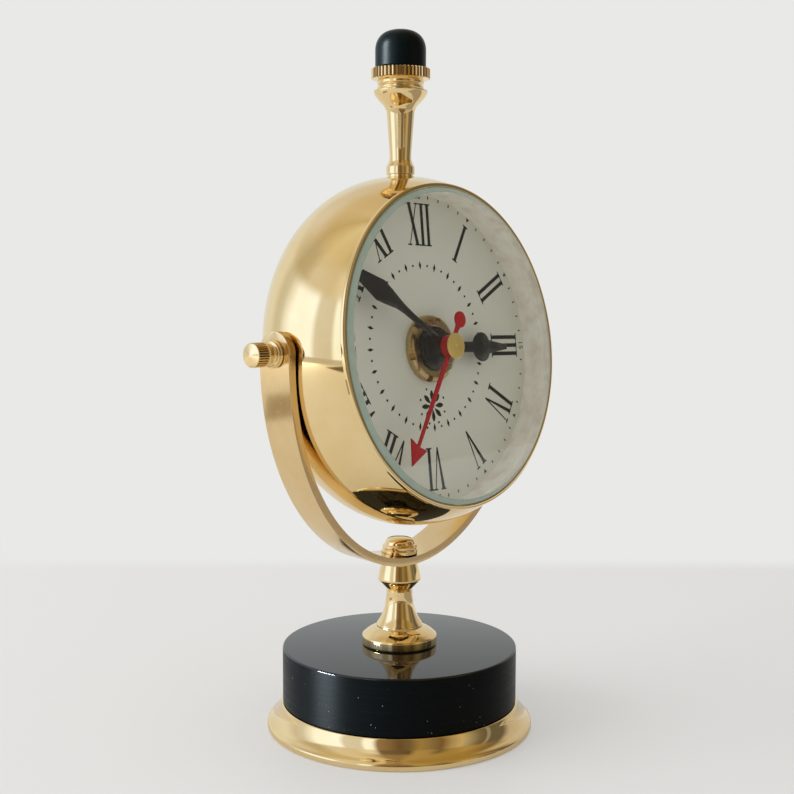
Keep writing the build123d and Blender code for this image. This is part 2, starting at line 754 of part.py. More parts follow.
def crown_knob():
    dome_h = KNOB_H - KNOB_STRAIGHT_H
    radius_share, height_share = KNOB_DOME_shares
    dome_z = crown_ring_top + KNOB_STRAIGHT_H
    sides = Polyline(
        rz(0, knob_top),
        rz(0, crown_ring_top + KNOB_BORE_DEPTH),
        rz(CROWN_STUD_R, crown_ring_top + KNOB_BORE_DEPTH),
        rz(CROWN_STUD_R, crown_ring_top),
        rz(KNOB_R, crown_ring_top),
        rz(KNOB_R, dome_z),
    )
    dome = Spline(
        rz(KNOB_R, dome_z),
        rz(radius_share * KNOB_R, dome_z + height_share * dome_h),
        rz(0, knob_top),
        tangents=((0, 0, 1), (-1, 0, 0)),
    )
    return turned(sides + dome)


def crown_stud():
    return disc(CROWN_STUD_R, neck_top - NECK_BORE_DEPTH + SEAT_GAP, crown_ring_top + KNOB_BORE_DEPTH)


def gear_outline(module, teeth, phase_deg):
    """Straight-flanked teeth; the phase is the direction of one tooth's middle."""
    root_r = module * (teeth / 2 - TOOTH_ROOT_share)
    tip_r = module * (teeth / 2 + TOOTH_TIP_share)
    pitch = 2 * math.pi / teeth
    flank = (
        (root_r, -TOOTH_ROOT_HALF_share),
        (tip_r, -TOOTH_TIP_HALF_share),
        (tip_r, TOOTH_TIP_HALF_share),
        (root_r, TOOTH_ROOT_HALF_share),
    )
    points = []
    for tooth in range(teeth):
        for reach, half in flank:
            angle = math.radians(phase_deg) + (tooth + half) * pitch
            points.append((reach * math.cos(angle), reach * math.sin(angle)))
    return make_face(Polyline(*points, close=True))


def gear(module, teeth, phase_deg, front, thickness):
    return extrude(Pos(0, 0, front - thickness) * gear_outline(module, teeth, phase_deg), thickness)


def meshed_phase(teeth, phase_deg, mate_teeth, direction_deg):
    """Phase that puts a mate in mesh with a gear that lies behind it along the direction."""
    return direction_deg + 180 + (180 - (phase_deg - direction_deg) * teeth) / mate_teeth


def centre_distance(module, teeth, mate_teeth):
    return module * (teeth + mate_teeth) / 2


def heading(distance, direction_deg):
    angle = math.radians(direction_deg)
    return (distance * math.cos(angle), distance * math.sin(angle))


motion_x, motion_y = heading(centre_distance(MOTION_MODULE, CANNON_TEETH, MOTION_TEETH), MOTION_DIRECTION_DEG)
third_distance = centre_distance(TRAIN_MODULE, SECOND_PINION_TEETH, THIRD_TEETH)
third_x, third_y = heading(third_distance, THIRD_DIRECTION_DEG)
centre_module = 2 * third_distance / (THIRD_PINION_TEETH + CENTRE_TEETH)
intermediate_distance = centre_distance(TRAIN_MODULE, SECOND_TEETH, INTERMEDIATE_PINION_TEETH)
intermediate_x, intermediate_y = heading(intermediate_distance, INTERMEDIATE_DIRECTION_DEG)
rotor_distance = centre_distance(TRAIN_MODULE, INTERMEDIATE_TEETH, ROTOR_PINION_TEETH)
rotor_run = heading(rotor_distance, ROTOR_DIRECTION_DEG)
rotor_x = intermediate_x + rotor_run[0]
rotor_y = intermediate_y + rotor_run[1]
motion_at = Pos(motion_x, motion_y, 0)
third_at = Pos(third_x, third_y, 0)
intermediate_at = Pos(intermediate_x, intermediate_y, 0)
rotor_at = Pos(rotor_x, rotor_y, 0)
motor_back = rotor_layer - ROTOR_MAGNET_L
bay_top = -MOVE_SIDE / 2 + MOVE_WALL + 2 * BATTERY_R + 2 * BAY_GAP
board_post_xs = (BOARD_X - BOARD_W / 2 + POST_R, BOARD_X + BOARD_W / 2 - POST_R)
board_post_y = BOARD_Y + BOARD_H / 2 - POST_R
cell_end = (BATTERY_L + BATTERY_NUB_L) / 2
bay_end = cell_end + CONTACT_BUMP_L + CONTACT_T
battery_y = -MOVE_SIDE / 2 + MOVE_WALL + BAY_GAP + BATTERY_R
battery_z = cavity_front - BATTERY_R
battery_at = Pos(-BATTERY_NUB_L / 2, battery_y, battery_z)
stator_back = (rotor_layer + motor_back - STATOR_T) / 2
stator_left = rotor_x - STATOR_ROTOR_AT_share * STATOR_W
coil_y = rotor_y + STATOR_H / 2 + STATOR_LEG_H - COIL_CORE_H / 2
stator_feet = (stator_left + STATOR_LEG_W / 2, stator_left + STATOR_W - STATOR_LEG_W / 2)


def hour_wheel():
    pinion_phase = 0
    phase = meshed_phase(MOTION_PINION_TEETH, pinion_phase, HOUR_TEETH, MOTION_DIRECTION_DEG + 180)
    wheel = gear(MOTION_MODULE, HOUR_TEETH, phase, hour_layer, WHEEL_T)
    wheel += disc(HOUR_TUBE_R, hour_layer - WHEEL_T, hour_tube_end)
    return case_place * (wheel - disc(MINUTE_TUBE_R + RUN_GAP, hour_layer - WHEEL_T, hour_tube_end))


def motion_wheel():
    phase = meshed_phase(CANNON_TEETH, 0, MOTION_TEETH, MOTION_DIRECTION_DEG)
    wheel = gear(MOTION_MODULE, MOTION_TEETH, phase, motion_layer, WHEEL_T)
    wheel += gear(MOTION_MODULE, MOTION_PINION_TEETH, 0, hour_layer, layer_pitch)
    wheel += disc(MOTION_ARBOR_R, setting_knob_back, cavity_front + MOVE_PIVOT_DEPTH - SEAT_GAP)
    return case_place * motion_at * wheel


def minute_tube():
    tube = gear(MOTION_MODULE, CANNON_TEETH, 0, motion_layer, WHEEL_T)
    tube += disc(MINUTE_TUBE_R, motion_layer, minute_tube_end)
    return case_place * (tube - disc(SECOND_ARBOR_R + RUN_GAP, motion_layer - WHEEL_T, minute_tube_end))


def centre_wheel():
    phase = meshed_phase(THIRD_PINION_TEETH, 0, CENTRE_TEETH, THIRD_DIRECTION_DEG + 180)
    wheel = gear(centre_module, CENTRE_TEETH, phase, centre_layer, WHEEL_T)
    return case_place * (wheel - disc(SECOND_ARBOR_R + RUN_GAP, centre_layer - WHEEL_T, centre_layer))


def third_wheel():
    phase = meshed_phase(SECOND_PINION_TEETH, 0, THIRD_TEETH, THIRD_DIRECTION_DEG)
    wheel = gear(TRAIN_MODULE, THIRD_TEETH, phase, third_layer, WHEEL_T)
    wheel += gear(centre_module, THIRD_PINION_TEETH, 0, centre_layer, layer_pitch)
    back = intermediate_layer - MOVE_PIVOT_DEPTH + SEAT_GAP
    wheel += disc(THIN_ARBOR_R, back, cavity_front + MOVE_PIVOT_DEPTH - SEAT_GAP)
    return case_place * third_at * wheel


def second_wheel():
    wheel = gear(TRAIN_MODULE, SECOND_TEETH, 0, second_layer, WHEEL_T)
    wheel += gear(TRAIN_MODULE, SECOND_PINION_TEETH, 0, third_layer, layer_pitch)
    back = rotor_layer - MOVE_PIVOT_DEPTH + SEAT_GAP
    wheel += disc(SECOND_ARBOR_R, back, second_top)
    return case_place * wheel


def intermediate_wheel():
    pinion_phase = meshed_phase(SECOND_TEETH, 0, INTERMEDIATE_PINION_TEETH, INTERMEDIATE_DIRECTION_DEG)
    wheel = gear(TRAIN_MODULE, INTERMEDIATE_TEETH, 0, intermediate_layer, WHEEL_T)
    wheel += gear(TRAIN_MODULE, INTERMEDIATE_PINION_TEETH, pinion_phase, second_layer, layer_pitch)
    wheel -= disc(THIN_ARBOR_R + RUN_GAP, intermediate_layer - WHEEL_T, second_layer)
    return case_place * intermediate_at * wheel


def rotor():
    phase = meshed_phase(INTERMEDIATE_TEETH, 0, ROTOR_PINION_TEETH, ROTOR_DIRECTION_DEG)
    body = gear(TRAIN_MODULE, ROTOR_PINION_TEETH, phase, intermediate_layer, layer_pitch)
    body += disc(ROTOR_MAGNET_R, motor_back, rotor_layer)
    body -= disc(THIN_ARBOR_R + RUN_GAP, motor_back, intermediate_layer)
    return case_place * rotor_at * body


def setting_knob():
    grip = toothed(SETTING_KNOB_R, SETTING_TEETH, SETTING_TOOTH_H)
    knob = extrude(Pos(0, 0, setting_knob_back) * grip, SETTING_KNOB_L)
    bore = disc(MOTION_ARBOR_R, setting_knob_back, setting_knob_back + SETTING_KNOB_L)
    return case_place * motion_at * (knob - bore)


def movement_outline(inset):
    side = MOVE_SIDE - 2 * inset
    return RectangleRounded(side, side, MOVE_CORNER_R - inset)


def movement_front():
    """Front half: dial-side wall, rim, battery bay, threaded bush and front pivots."""
    body = extrude(Pos(0, 0, move_back) * movement_outline(0), MOVE_T)
    inside = extrude(Pos(0, 0, move_back) * movement_outline(MOVE_WALL), MOVE_T - MOVE_WALL)
    wall_h = cavity_front - move_back
    wall_z = (move_back + cavity_front) / 2
    walls = Pos(0, bay_top + MOVE_WALL / 2, wall_z) * Box(MOVE_SIDE, MOVE_WALL, wall_h)
    for side in (-1, 1):
        walls += Pos(side * (bay_end + MOVE_WALL / 2), battery_y, wall_z) * Box(
            MOVE_WALL, bay_top + MOVE_SIDE / 2, wall_h
        )
    body = body - inside + (walls & inside)
    body += disc(MOVE_BUSH_R, cavity_front, bush_end)
    body -= disc(HOUR_TUBE_R + RUN_GAP, cavity_front, bush_end)
    for place, arbor_r in ((motion_at, MOTION_ARBOR_R), (third_at, THIN_ARBOR_R)):
        body -= place * disc(arbor_r + RUN_GAP, cavity_front, cavity_front + MOVE_PIVOT_DEPTH)
    for post_x in board_post_xs:
        body += Pos(post_x, board_post_y, 0) * disc(POST_R, BOARD_Z + BOARD_T, cavity_front)
    return case_place * body


def movement_back():
    """Rear half: closes the gear space, with posts and pivots for the wheels."""
    top_y = MOVE_SIDE / 2 - MOVE_WALL
    low_y = bay_top + MOVE_WALL
    window = Pos(0, (top_y + low_y) / 2, 0) * Rectangle(MOVE_SIDE, top_y - low_y)
    body = extrude(Pos(0, 0, move_back) * (movement_outline(MOVE_WALL) & window), MOVE_WALL)
    body += third_at * disc(MOVE_BOSS_R, cavity_back, intermediate_layer)
    body -= third_at * disc(THIN_ARBOR_R + RUN_GAP, intermediate_layer - MOVE_PIVOT_DEPTH, intermediate_layer)
    body += disc(MOVE_BOSS_R, cavity_back, rotor_layer)
    body -= disc(SECOND_ARBOR_R + RUN_GAP, rotor_layer - MOVE_PIVOT_DEPTH, rotor_layer)
    body += intermediate_at * disc(MOVE_BOSS_R, cavity_back, rotor_layer)
    body += intermediate_at * disc(THIN_ARBOR_R, rotor_layer, second_layer)
    body += rotor_at * disc(MOVE_BOSS_R, cavity_back, motor_back - LAYER_GAP)
    body += rotor_at * disc(THIN_ARBOR_R, motor_back - LAYER_GAP, intermediate_layer)
    body -= motion_at * disc(MOTION_ARBOR_R + RUN_GAP, move_back, cavity_back)
    for foot_x in stator_feet:
        body += Pos(foot_x, coil_y, 0) * disc(POST_R, cavity_back, stator_back)
    return case_place * body


def circuit_board():
    return case_place * Pos(BOARD_X, BOARD_Y, BOARD_Z + BOARD_T / 2) * Box(BOARD_W, BOARD_H, BOARD_T)


def stator():
    plate = Pos(stator_left + STATOR_W / 2, rotor_y) * Rectangle(STATOR_W, STATOR_H)
    for foot_x in stator_feet:
        plate += Pos(foot_x, rotor_y + (STATOR_H + STATOR_LEG_H) / 2) * Rectangle(STATOR_LEG_W, STATOR_LEG_H)
    plate -= Pos(rotor_x, rotor_y) * Circle(ROTOR_MAGNET_R + STATOR_ROTOR_GAP)
    return case_place * extrude(Pos(0, 0, stator_back) * plate, STATOR_T)


core_at = Pos(stator_left + STATOR_W / 2, coil_y, stator_back + STATOR_T + STATOR_T / 2)


def coil_core():
    return case_place * core_at * Box(STATOR_W, COIL_CORE_H, STATOR_T)


def coil():
    winding = core_at * along_x(COIL_R, -COIL_L / 2, COIL_L / 2)
    return case_place * (winding - core_at * Box(STATOR_W, COIL_CORE_H, STATOR_T))


def battery():
    cell = along_x(BATTERY_R, -BATTERY_L / 2, BATTERY_L / 2)
    cell += along_x(BATTERY_NUB_R, BATTERY_L / 2, BATTERY_L / 2 + BATTERY_NUB_L)
    return case_place * battery_at * cell


def contact(side):
    """Sprung strip against the bay's end wall, with a bump that meets the cell."""
    strip = Pos(bay_end - CONTACT_T / 2, battery_y, battery_z) * Box(CONTACT_T, CONTACT_W, CONTACT_W)
    strip += Pos(0, battery_y, battery_z) * along_x(CONTACT_BUMP_R, cell_end, bay_end - CONTACT_T)
    if side < 0:
        strip = strip.mirror(Plane.YZ)
    return case_place * strip


def hour_hand():
    """Spade hand: shaft, round bulb, hollow-sided point."""
    blade = Pos(0, HOUR_BULB_AT / 2) * Rectangle(HOUR_SHAFT_W, HOUR_BULB_AT)
    blade += Pos(0, HOUR_BULB_AT) * Circle(HOUR_BULB_R)
    start = math.radians(HOUR_POINT_START_DEG)
    side = HOUR_BULB_R * math.cos(start)
    shoulder = HOUR_BULB_AT + HOUR_BULB_R * math.sin(start)
    waist_x = HOUR_POINT_HOLLOW_share * side
    waist_y = shoulder + HOUR_POINT_HOLLOW_share * (HOUR_TIP_R - shoulder)
    point = Line((-side, shoulder), (side, shoulder))
    point += Bezier((side, shoulder), (waist_x, waist_y), (0, HOUR_TIP_R))
    point += Bezier((0, HOUR_TIP_R), (-waist_x, waist_y), (-side, shoulder))
    blade += make_face(point)
    hand = extrude(Pos(0, 0, hour_top - HAND_T) * blade, HAND_T)
    hand += disc(HOUR_HUB_R, hour_hub_z, hour_top)
    return case_place * clockwise(HOUR_DEG) * (hand - disc(HOUR_TUBE_R, hour_hub_z, hour_top))


def minute_hand():
    """Lozenge hand, widest near its tip."""
    blade = make_face(Polyline(
        (-MINUTE_ROOT_W / 2, 0),
        (MINUTE_ROOT_W / 2, 0),
        (MINUTE_WIDE_W / 2, MINUTE_WIDE_AT),
        (0, MINUTE_TIP_R),
        (-MINUTE_WIDE_W / 2, MINUTE_WIDE_AT),
        close=True,
    ))
    hand = extrude(Pos(0, 0, minute_top - HAND_T) * blade, HAND_T)
    hand += disc(MINUTE_HUB_R, minute_hub_z, minute_top)
    return case_place * clockwise(MINUTE_DEG) * (hand - disc(MINUTE_TUBE_R, minute_hub_z, minute_top))


def second_hand():
    """Thin blade with an arrow at the tip and a round weight on the tail."""
    arrow_base = SECOND_TIP_R - SECOND_ARROW_L
    blade_l = arrow_base + SECOND_TAIL_AT
    blade = Pos(0, arrow_base - blade_l / 2) * Rectangle(SECOND_BLADE_W, blade_l)
    blade += Pos(0, -SECOND_TAIL_AT) * Circle(SECOND_TAIL_R)
    blade += make_face(Polyline(
        (-SECOND_ARROW_W / 2, arrow_base), (SECOND_ARROW_W / 2, arrow_base), (0, SECOND_TIP_R), close=True
    ))
    hand = extrude(Pos(0, 0, second_top - HAND_T) * blade, HAND_T)
    hand += disc(SECOND_HUB_R, second_hub_z, second_top)
    return case_place * clockwise(SECOND_DEG) * (hand - disc(SECOND_ARBOR_R, second_hub_z, second_top))


def second_cap():
    rim_z = second_top + (1 - CAP_DOME_share) * CAP_H
    cap_top = second_top + CAP_H
    sides = Polyline(rz(0, cap_top), rz(0, second_top), rz(CAP_R, second_top), rz(CAP_R, rim_z))
    dome = Spline(rz(CAP_R, rim_z), rz(0, cap_top), tangents=((0, 0, 1), (-1, 0, 0)))
    return case_place * turned(sides + dome)


PIECES = {
    "foot_ring": foot_ring,
    "base_disc": base_disc,
    "base_washer": base_washer,
    "base_screw": base_screw,
    "column": column,
    "yoke_dome_screw": yoke_dome_screw,
    "yoke": yoke,
    "thumbscrew_left": lambda: thumbscrew(-1),
    "thumbscrew_right": lambda: thumbscrew(1),
    "case_shell": case_shell,
    "pivot_bushes": pivot_bushes,
    "bezel": bezel,
    "glass": glass,
    "dial_spacer": dial_spacer,
    "dial": dial,
    "dial_washer": dial_washer,
    "dial_nut": dial_nut,
    "back_cover": back_cover,
    "neck": neck,
    "neck_nut": neck_nut,
    "crown_ring": crown_ring,
    "crown_knob": crown_knob,
    "crown_stud": crown_stud,
    "movement_front": movement_front,
    "movement_back": movement_back,
    "circuit_board": circuit_board,
    "stator": stator,
    "coil_core": coil_core,
    "coil": coil,
    "battery": battery,
    "contact_plus": lambda: contact(1),
    "contact_minus": lambda: contact(-1),
    "hour_wheel": hour_wheel,
    "motion_wheel": motion_wheel,
    "minute_tube": minute_tube,
    "centre_wheel": centre_wheel,
    "third_wheel": third_wheel,
    "second_wheel": second_wheel,
    "intermediate_wheel": intermediate_wheel,
    "rotor": rotor,
    "setting_knob": setting_knob,
    "hour_hand": hour_hand,
    "minute_hand": minute_hand,
    "second_hand": second_hand,
    "second_cap": second_cap,
}

os.makedirs("parts", exist_ok=True)
for name, make in PIECES.items():
    export_step(make(), f"parts/{name}.step")

print("pivot height", round(pivot_z, 2), "overall height", round(knob_top, 2))
arbors = {
    "motion": (motion_x, motion_y),
    "third": (third_x, third_y),
    "intermediate": (intermediate_x, intermediate_y),
    "rotor": (rotor_x, rotor_y),
}
for name, (x, y) in arbors.items():
    print(name, "arbor in the dial frame", round(x, 6), round(y, 6))
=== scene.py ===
# %% [markdown]
# # A brass desk clock on a swivelling yoke
# A spun brass case hangs between two thumbscrews in a bent brass yoke. A turned column carries
# the yoke on a black disc with a brass foot. The CAD model is the frame: it gives every size and
# place, and this lesson dresses it with surfaces that can be looked at closely.

# %% Load the frame
import bisect
import json
import math

import bmesh
import bpy
from mathutils import Matrix, Vector


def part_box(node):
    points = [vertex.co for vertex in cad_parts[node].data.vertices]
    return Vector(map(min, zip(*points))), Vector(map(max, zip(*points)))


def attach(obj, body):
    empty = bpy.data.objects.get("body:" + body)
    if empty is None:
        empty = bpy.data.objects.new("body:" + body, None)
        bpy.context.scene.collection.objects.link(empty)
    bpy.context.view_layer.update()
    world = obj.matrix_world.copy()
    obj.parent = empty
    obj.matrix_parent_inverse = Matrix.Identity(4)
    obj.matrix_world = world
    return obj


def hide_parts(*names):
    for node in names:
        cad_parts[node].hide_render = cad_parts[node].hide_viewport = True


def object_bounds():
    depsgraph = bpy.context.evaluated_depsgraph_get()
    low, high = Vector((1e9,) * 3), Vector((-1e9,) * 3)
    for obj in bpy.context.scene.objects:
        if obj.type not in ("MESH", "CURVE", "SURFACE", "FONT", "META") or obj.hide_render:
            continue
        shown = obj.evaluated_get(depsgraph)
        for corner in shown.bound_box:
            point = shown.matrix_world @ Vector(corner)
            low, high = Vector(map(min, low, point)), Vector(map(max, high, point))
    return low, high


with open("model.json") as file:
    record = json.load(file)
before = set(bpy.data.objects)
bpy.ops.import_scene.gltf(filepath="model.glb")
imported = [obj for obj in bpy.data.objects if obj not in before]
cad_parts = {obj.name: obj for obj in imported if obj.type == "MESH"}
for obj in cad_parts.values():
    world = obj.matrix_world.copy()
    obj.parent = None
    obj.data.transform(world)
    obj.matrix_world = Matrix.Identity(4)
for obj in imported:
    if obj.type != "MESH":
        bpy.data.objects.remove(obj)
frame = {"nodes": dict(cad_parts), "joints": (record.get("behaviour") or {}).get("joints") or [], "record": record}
cad_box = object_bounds()
MM = 0.001
record = frame["record"]
body_of_node = {node: body for body, nodes in record["behaviour"]["bodies"].items() for node in nodes}
slot_of_node = {row["node"]: row["material_slot"] for row in record["subparts"]}
joint_named = {joint["name"]: joint for joint in frame["joints"]}

# %% [markdown]
# ## Camera
# The camera stands a little above the dial's middle, round to the left of the clock. Its place
# and lens were worked out from the round edges of the bezel, the disc and the foot.

# %% Camera
SENSOR_MM = 36.0
LENS_MM = 56.22
CAMERA_AZIMUTH_DEG = -48.49
CAMERA_GROUND_MM = 308.2
CAMERA_HEIGHT_MM = 112.28
LOOK = Vector((0.7440, 0.6616, -0.0935)).normalized()
CAMERA_UP = Vector((0.0686, 0.0636, 0.9956))

azimuth = math.radians(CAMERA_AZIMUTH_DEG)
towards_camera = Vector((math.sin(azimuth), -math.cos(azimuth), 0.0))
camera_right = LOOK.cross(CAMERA_UP).normalized()
camera_up = camera_right.cross(LOOK)
camera_data = bpy.data.cameras.new("camera")
camera_data.sensor_width = SENSOR_MM
camera_data.lens = LENS_MM
camera_data.clip_start = 10 * MM
camera = bpy.data.objects.new("camera", camera_data)
bpy.context.scene.collection.objects.link(camera)
camera_spot = towards_camera * CAMERA_GROUND_MM * MM + Vector((0.0, 0.0, CAMERA_HEIGHT_MM * MM))
turn = Matrix((camera_right, camera_up, -LOOK)).transposed().to_4x4()
camera.matrix_world = Matrix.Translation(camera_spot) @ turn
bpy.context.scene.camera = camera
bpy.context.scene.view_settings.view_transform = "Standard"
print("camera at", [round(value, 4) for value in camera_spot])

# %% [markdown]
# ## Node maths
# A shader or a geometry tree is a net of nodes. This class wraps one socket of a net, so that
# `1 - mask * 2` writes the Math nodes, and `add` makes every other kind of node.


# %% A socket that does arithmetic
class Wire:
    """One socket of a node tree. Arithmetic on it adds Math nodes, and add() makes any other node."""

    def __init__(self, tree, socket=None):
        self.tree = tree
        self.socket = socket

    def add(self, kind, settings=None, sockets=None, output=0):
        """Make a node: its settings first, then a value or a link for each named socket."""
        node = self.tree.nodes.new(kind)
        for key, value in (settings or {}).items():
            if key == "stops":
                for index, (position, colour) in enumerate(value):
                    stops = node.color_ramp.elements
                    stop = stops[index] if index < len(stops) else stops.new(position)
                    stop.position = position
                    stop.color = colour
            else:
                setattr(node, key, value)
        for key, value in (sockets or {}).items():
            if isinstance(value, Wire):
                self.tree.links.new(value.socket, node.inputs[key])
            else:
                node.inputs[key].default_value = value
        return Wire(self.tree, node.outputs[output] if len(node.outputs) else None)

    def out(self, name):
        """Another output of the same node."""
        return Wire(self.tree, self.socket.node.outputs[name])

    def maths(self, operation, one, two=0.0):
        return self.add("ShaderNodeMath", {"operation": operation}, {0: one, 1: two})

    def __add__(self, other):
        return self.maths("ADD", self, other)

    __radd__ = __add__

    def __sub__(self, other):
        return self.maths("SUBTRACT", self, other)

    def __rsub__(self, other):
        return self.maths("SUBTRACT", other, self)

    def __mul__(self, other):
        return self.maths("MULTIPLY", self, other)

    __rmul__ = __mul__

    def __truediv__(self, other):
        return self.maths("DIVIDE", self, other)

    def __gt__(self, other):
        return self.maths("GREATER_THAN", self, other)

    def __lt__(self, other):
        return self.maths("LESS_THAN", self, other)

    def call(self, operation, other=0.0):
        """A one-word function of this value, such as SINE, ABSOLUTE or FRACT."""
        return self.maths(operation, self, other)

    def rise(self, low, high):
        """A soft step: 0 below low, 1 above high."""
        settings = {"interpolation_type": "SMOOTHSTEP"}
        return self.add("ShaderNodeMapRange", settings, {"Value": self, "From Min": low, "From Max": high})

    def blend(self, first, second):
        """The first colour where this value is 0, the second where it is 1."""
        settings = {"data_type": "RGBA"}
        return self.add("ShaderNodeMix", settings, {"Factor": self, "A": first, "B": second}, "Result")


def start_finish(name):
    """A new material with an empty net."""
    material = bpy.data.materials.new(name)
    material.use_nodes = True
    material.node_tree.nodes.clear()
    return material, Wire(material.node_tree)


print("node maths ready")

# %% [markdown]
# ## Stage
# The clock stands on a pale table in front of a pale wall. One large sheet does for both: near
# the clock it is a lit table top, and past the line where the wall would start it glows in the
# wall's tone. To the camera, the far table glows on every side, so each view ends in that tone, and a
# part of the near table's tone is glow as well, which keeps the shadow as faint as it is in a bright
# room. Seen from another side, the wall's line crosses the table as a soft edge.

# %% Table and wall
WALL_BEHIND_MM = 177.0
WALL_LINE_MM = 12.0
TABLE_HALF_M = 6.0
TABLE_WASH = 0.3
FAR_FROM_M = 0.45
FAR_TO_M = 0.8
WALL_COLOUR = (0.815, 0.815, 0.80, 1.0)
TABLE_COLOUR = (0.84, 0.84, 0.845, 1.0)


def sheet_mesh(name, half_width, half_height):
    """A flat four-sided mesh round the origin."""
    mesh = bpy.data.meshes.new(name)
    corners = [(-half_width, -half_height, 0), (half_width, -half_height, 0)]
    corners += [(half_width, half_height, 0), (-half_width, half_height, 0)]
    mesh.from_pydata(corners, [], [(0, 1, 2, 3)])
    return mesh


def table_finish():
    material, tree = start_finish("pale_table")
    place = tree.add("ShaderNodeTexCoord", output="Object")
    away = tuple(-towards_camera)
    depth = tree.add("ShaderNodeVectorMath", {"operation": "DOT_PRODUCT"}, {0: place, 1: away}, "Value")
    wall = depth.rise((WALL_BEHIND_MM - WALL_LINE_MM) * MM, (WALL_BEHIND_MM + WALL_LINE_MM) * MM)
    top = tree.add("ShaderNodeBsdfPrincipled", {}, {"Base Color": TABLE_COLOUR, "Roughness": 0.55})
    glow = tree.add("ShaderNodeEmission", {}, {"Color": WALL_COLOUR, "Strength": 1.0})
    seen = tree.add("ShaderNodeLightPath", output="Is Camera Ray")
    reach = tree.add("ShaderNodeVectorMath", {"operation": "LENGTH"}, {0: place}, "Value")
    far = seen * reach.rise(FAR_FROM_M, FAR_TO_M)
    washed = tree.add("ShaderNodeMixShader", {}, {0: seen * TABLE_WASH, 1: top, 2: glow})
    mixed = tree.add("ShaderNodeMixShader", {}, {0: wall.call("MAXIMUM", far), 1: washed, 2: glow})
    tree.add("ShaderNodeOutputMaterial", {}, {"Surface": mixed})
    return material


table = bpy.data.objects.new("table", sheet_mesh("table", TABLE_HALF_M, TABLE_HALF_M))
bpy.context.scene.collection.objects.link(table)
table.data.materials.append(table_finish())
print("table:", 2 * TABLE_HALF_M, "m wide")

# %% [markdown]
# ## Light
# Polished brass has hardly a colour of its own: it shows the room. So the world has two faces.
# Matt surfaces get an even glow from it and two soft lamps for a tall window on the left. Mirrors
# see a room instead: the window, a dark side in front, pale walls behind and a dull ceiling, as
# three rows of tones that run round the clock, near the floor, above it and overhead.

# %% Window and room
ROOM_LIGHT = 0.72
ROOM_TINT = (1.0, 0.985, 0.96, 1.0)
LAMP_TINT = (1.0, 0.99, 0.97)
WINDOW_LIGHT = 3.5
WINDOW_PANES = ((-88.0, 13.0), (-60.0, 13.0))
WINDOW_DISTANCE_M = 1.3
WINDOW_SIZE_M = (0.56, 1.0)
# Each tone stands at so many degrees to the right of the camera and blends into the next
LOW_TONES = (
    (-180, (0.76, 0.80, 0.79)), (-150, (0.82, 0.86, 0.88)), (-125, (0.85, 0.89, 0.94)),
    (-110, (0.70, 0.71, 0.74)), (-100, (0.74, 0.80, 0.92)), (-90, (1.05, 1.18, 1.50)),
    (-83, (1.22, 1.44, 2.00)), (-58, (1.22, 1.44, 2.00)), (-52, (0.80, 0.85, 0.95)),
    (-36, (0.76, 0.79, 0.86)), (-32, (1.15, 1.35, 1.70)), (-25, (1.10, 1.28, 1.60)),
    (-20, (0.34, 0.23, 0.14)), (-10, (0.26, 0.18, 0.10)), (0, (0.16, 0.11, 0.06)),
    (10, (0.19, 0.15, 0.08)), (20, (0.37, 0.28, 0.11)), (30, (0.27, 0.21, 0.12)),
    (40, (0.20, 0.13, 0.055)), (50, (0.45, 0.36, 0.22)), (60, (0.60, 0.50, 0.31)),
    (70, (0.36, 0.34, 0.26)), (80, (0.20, 0.17, 0.11)), (87.5, (0.15, 0.14, 0.115)),
    (88.5, (0.34, 0.33, 0.30)), (92, (0.34, 0.33, 0.30)), (93, (0.15, 0.14, 0.115)),
    (110, (0.16, 0.145, 0.12)), (120, (0.58, 0.54, 0.52)), (150, (0.68, 0.68, 0.70)),
    (180, (0.76, 0.80, 0.79)),
)
MIDDLE_TONES = (
    (-180, (0.71, 0.68, 0.65)), (-140, (0.78, 0.80, 0.87)), (-125, (0.76, 0.74, 0.74)),
    (-105, (0.57, 0.55, 0.49)), (-90, (0.60, 0.57, 0.50)), (-75, (0.78, 0.77, 0.77)),
    (-45, (0.75, 0.71, 0.64)), (-30, (0.90, 0.88, 0.86)), (-24, (0.78, 0.73, 0.68)),
    (-19, (0.20, 0.15, 0.11)), (10, (0.15, 0.10, 0.055)), (18, (0.46, 0.35, 0.15)),
    (31, (0.41, 0.30, 0.14)), (42, (0.18, 0.15, 0.08)), (55, (0.40, 0.29, 0.10)),
    (75, (0.46, 0.34, 0.14)), (100, (0.31, 0.20, 0.07)), (112, (0.20, 0.16, 0.09)),
    (125, (0.50, 0.44, 0.33)), (135, (0.66, 0.60, 0.52)), (180, (0.71, 0.68, 0.65)),
)
HIGH_TONES = (
    (-180, (0.68, 0.60, 0.48)), (-140, (0.72, 0.66, 0.55)), (-110, (0.62, 0.54, 0.37)),
    (-75, (0.80, 0.76, 0.62)), (-50, (0.74, 0.68, 0.52)), (-35, (0.64, 0.57, 0.43)),
    (-20, (0.35, 0.27, 0.15)), (0, (0.30, 0.22, 0.12)), (20, (0.46, 0.34, 0.15)),
    (60, (0.40, 0.29, 0.10)), (130, (0.37, 0.25, 0.075)), (155, (0.50, 0.42, 0.25)),
    (180, (0.68, 0.60, 0.48)),
)
# Sines of the heights at which one row of tones gives way to the next
MIDDLE_FROM = 0.50
MIDDLE_TO = 0.62
HIGH_FROM = 0.72
HIGH_TO = 0.88

world = bpy.data.worlds.new("room")
bpy.context.scene.world = world
world.use_nodes = True
world.node_tree.nodes.clear()
room = Wire(world.node_tree)


def row_of_tones(heading, tones):
    """A colour ramp that runs once round the clock."""
    stops = [(degrees / 360.0 + 0.5, (*tone, 1.0)) for degrees, tone in tones]
    return room.add("ShaderNodeValToRGB", {"stops": stops}, {"Fac": heading}, "Color")


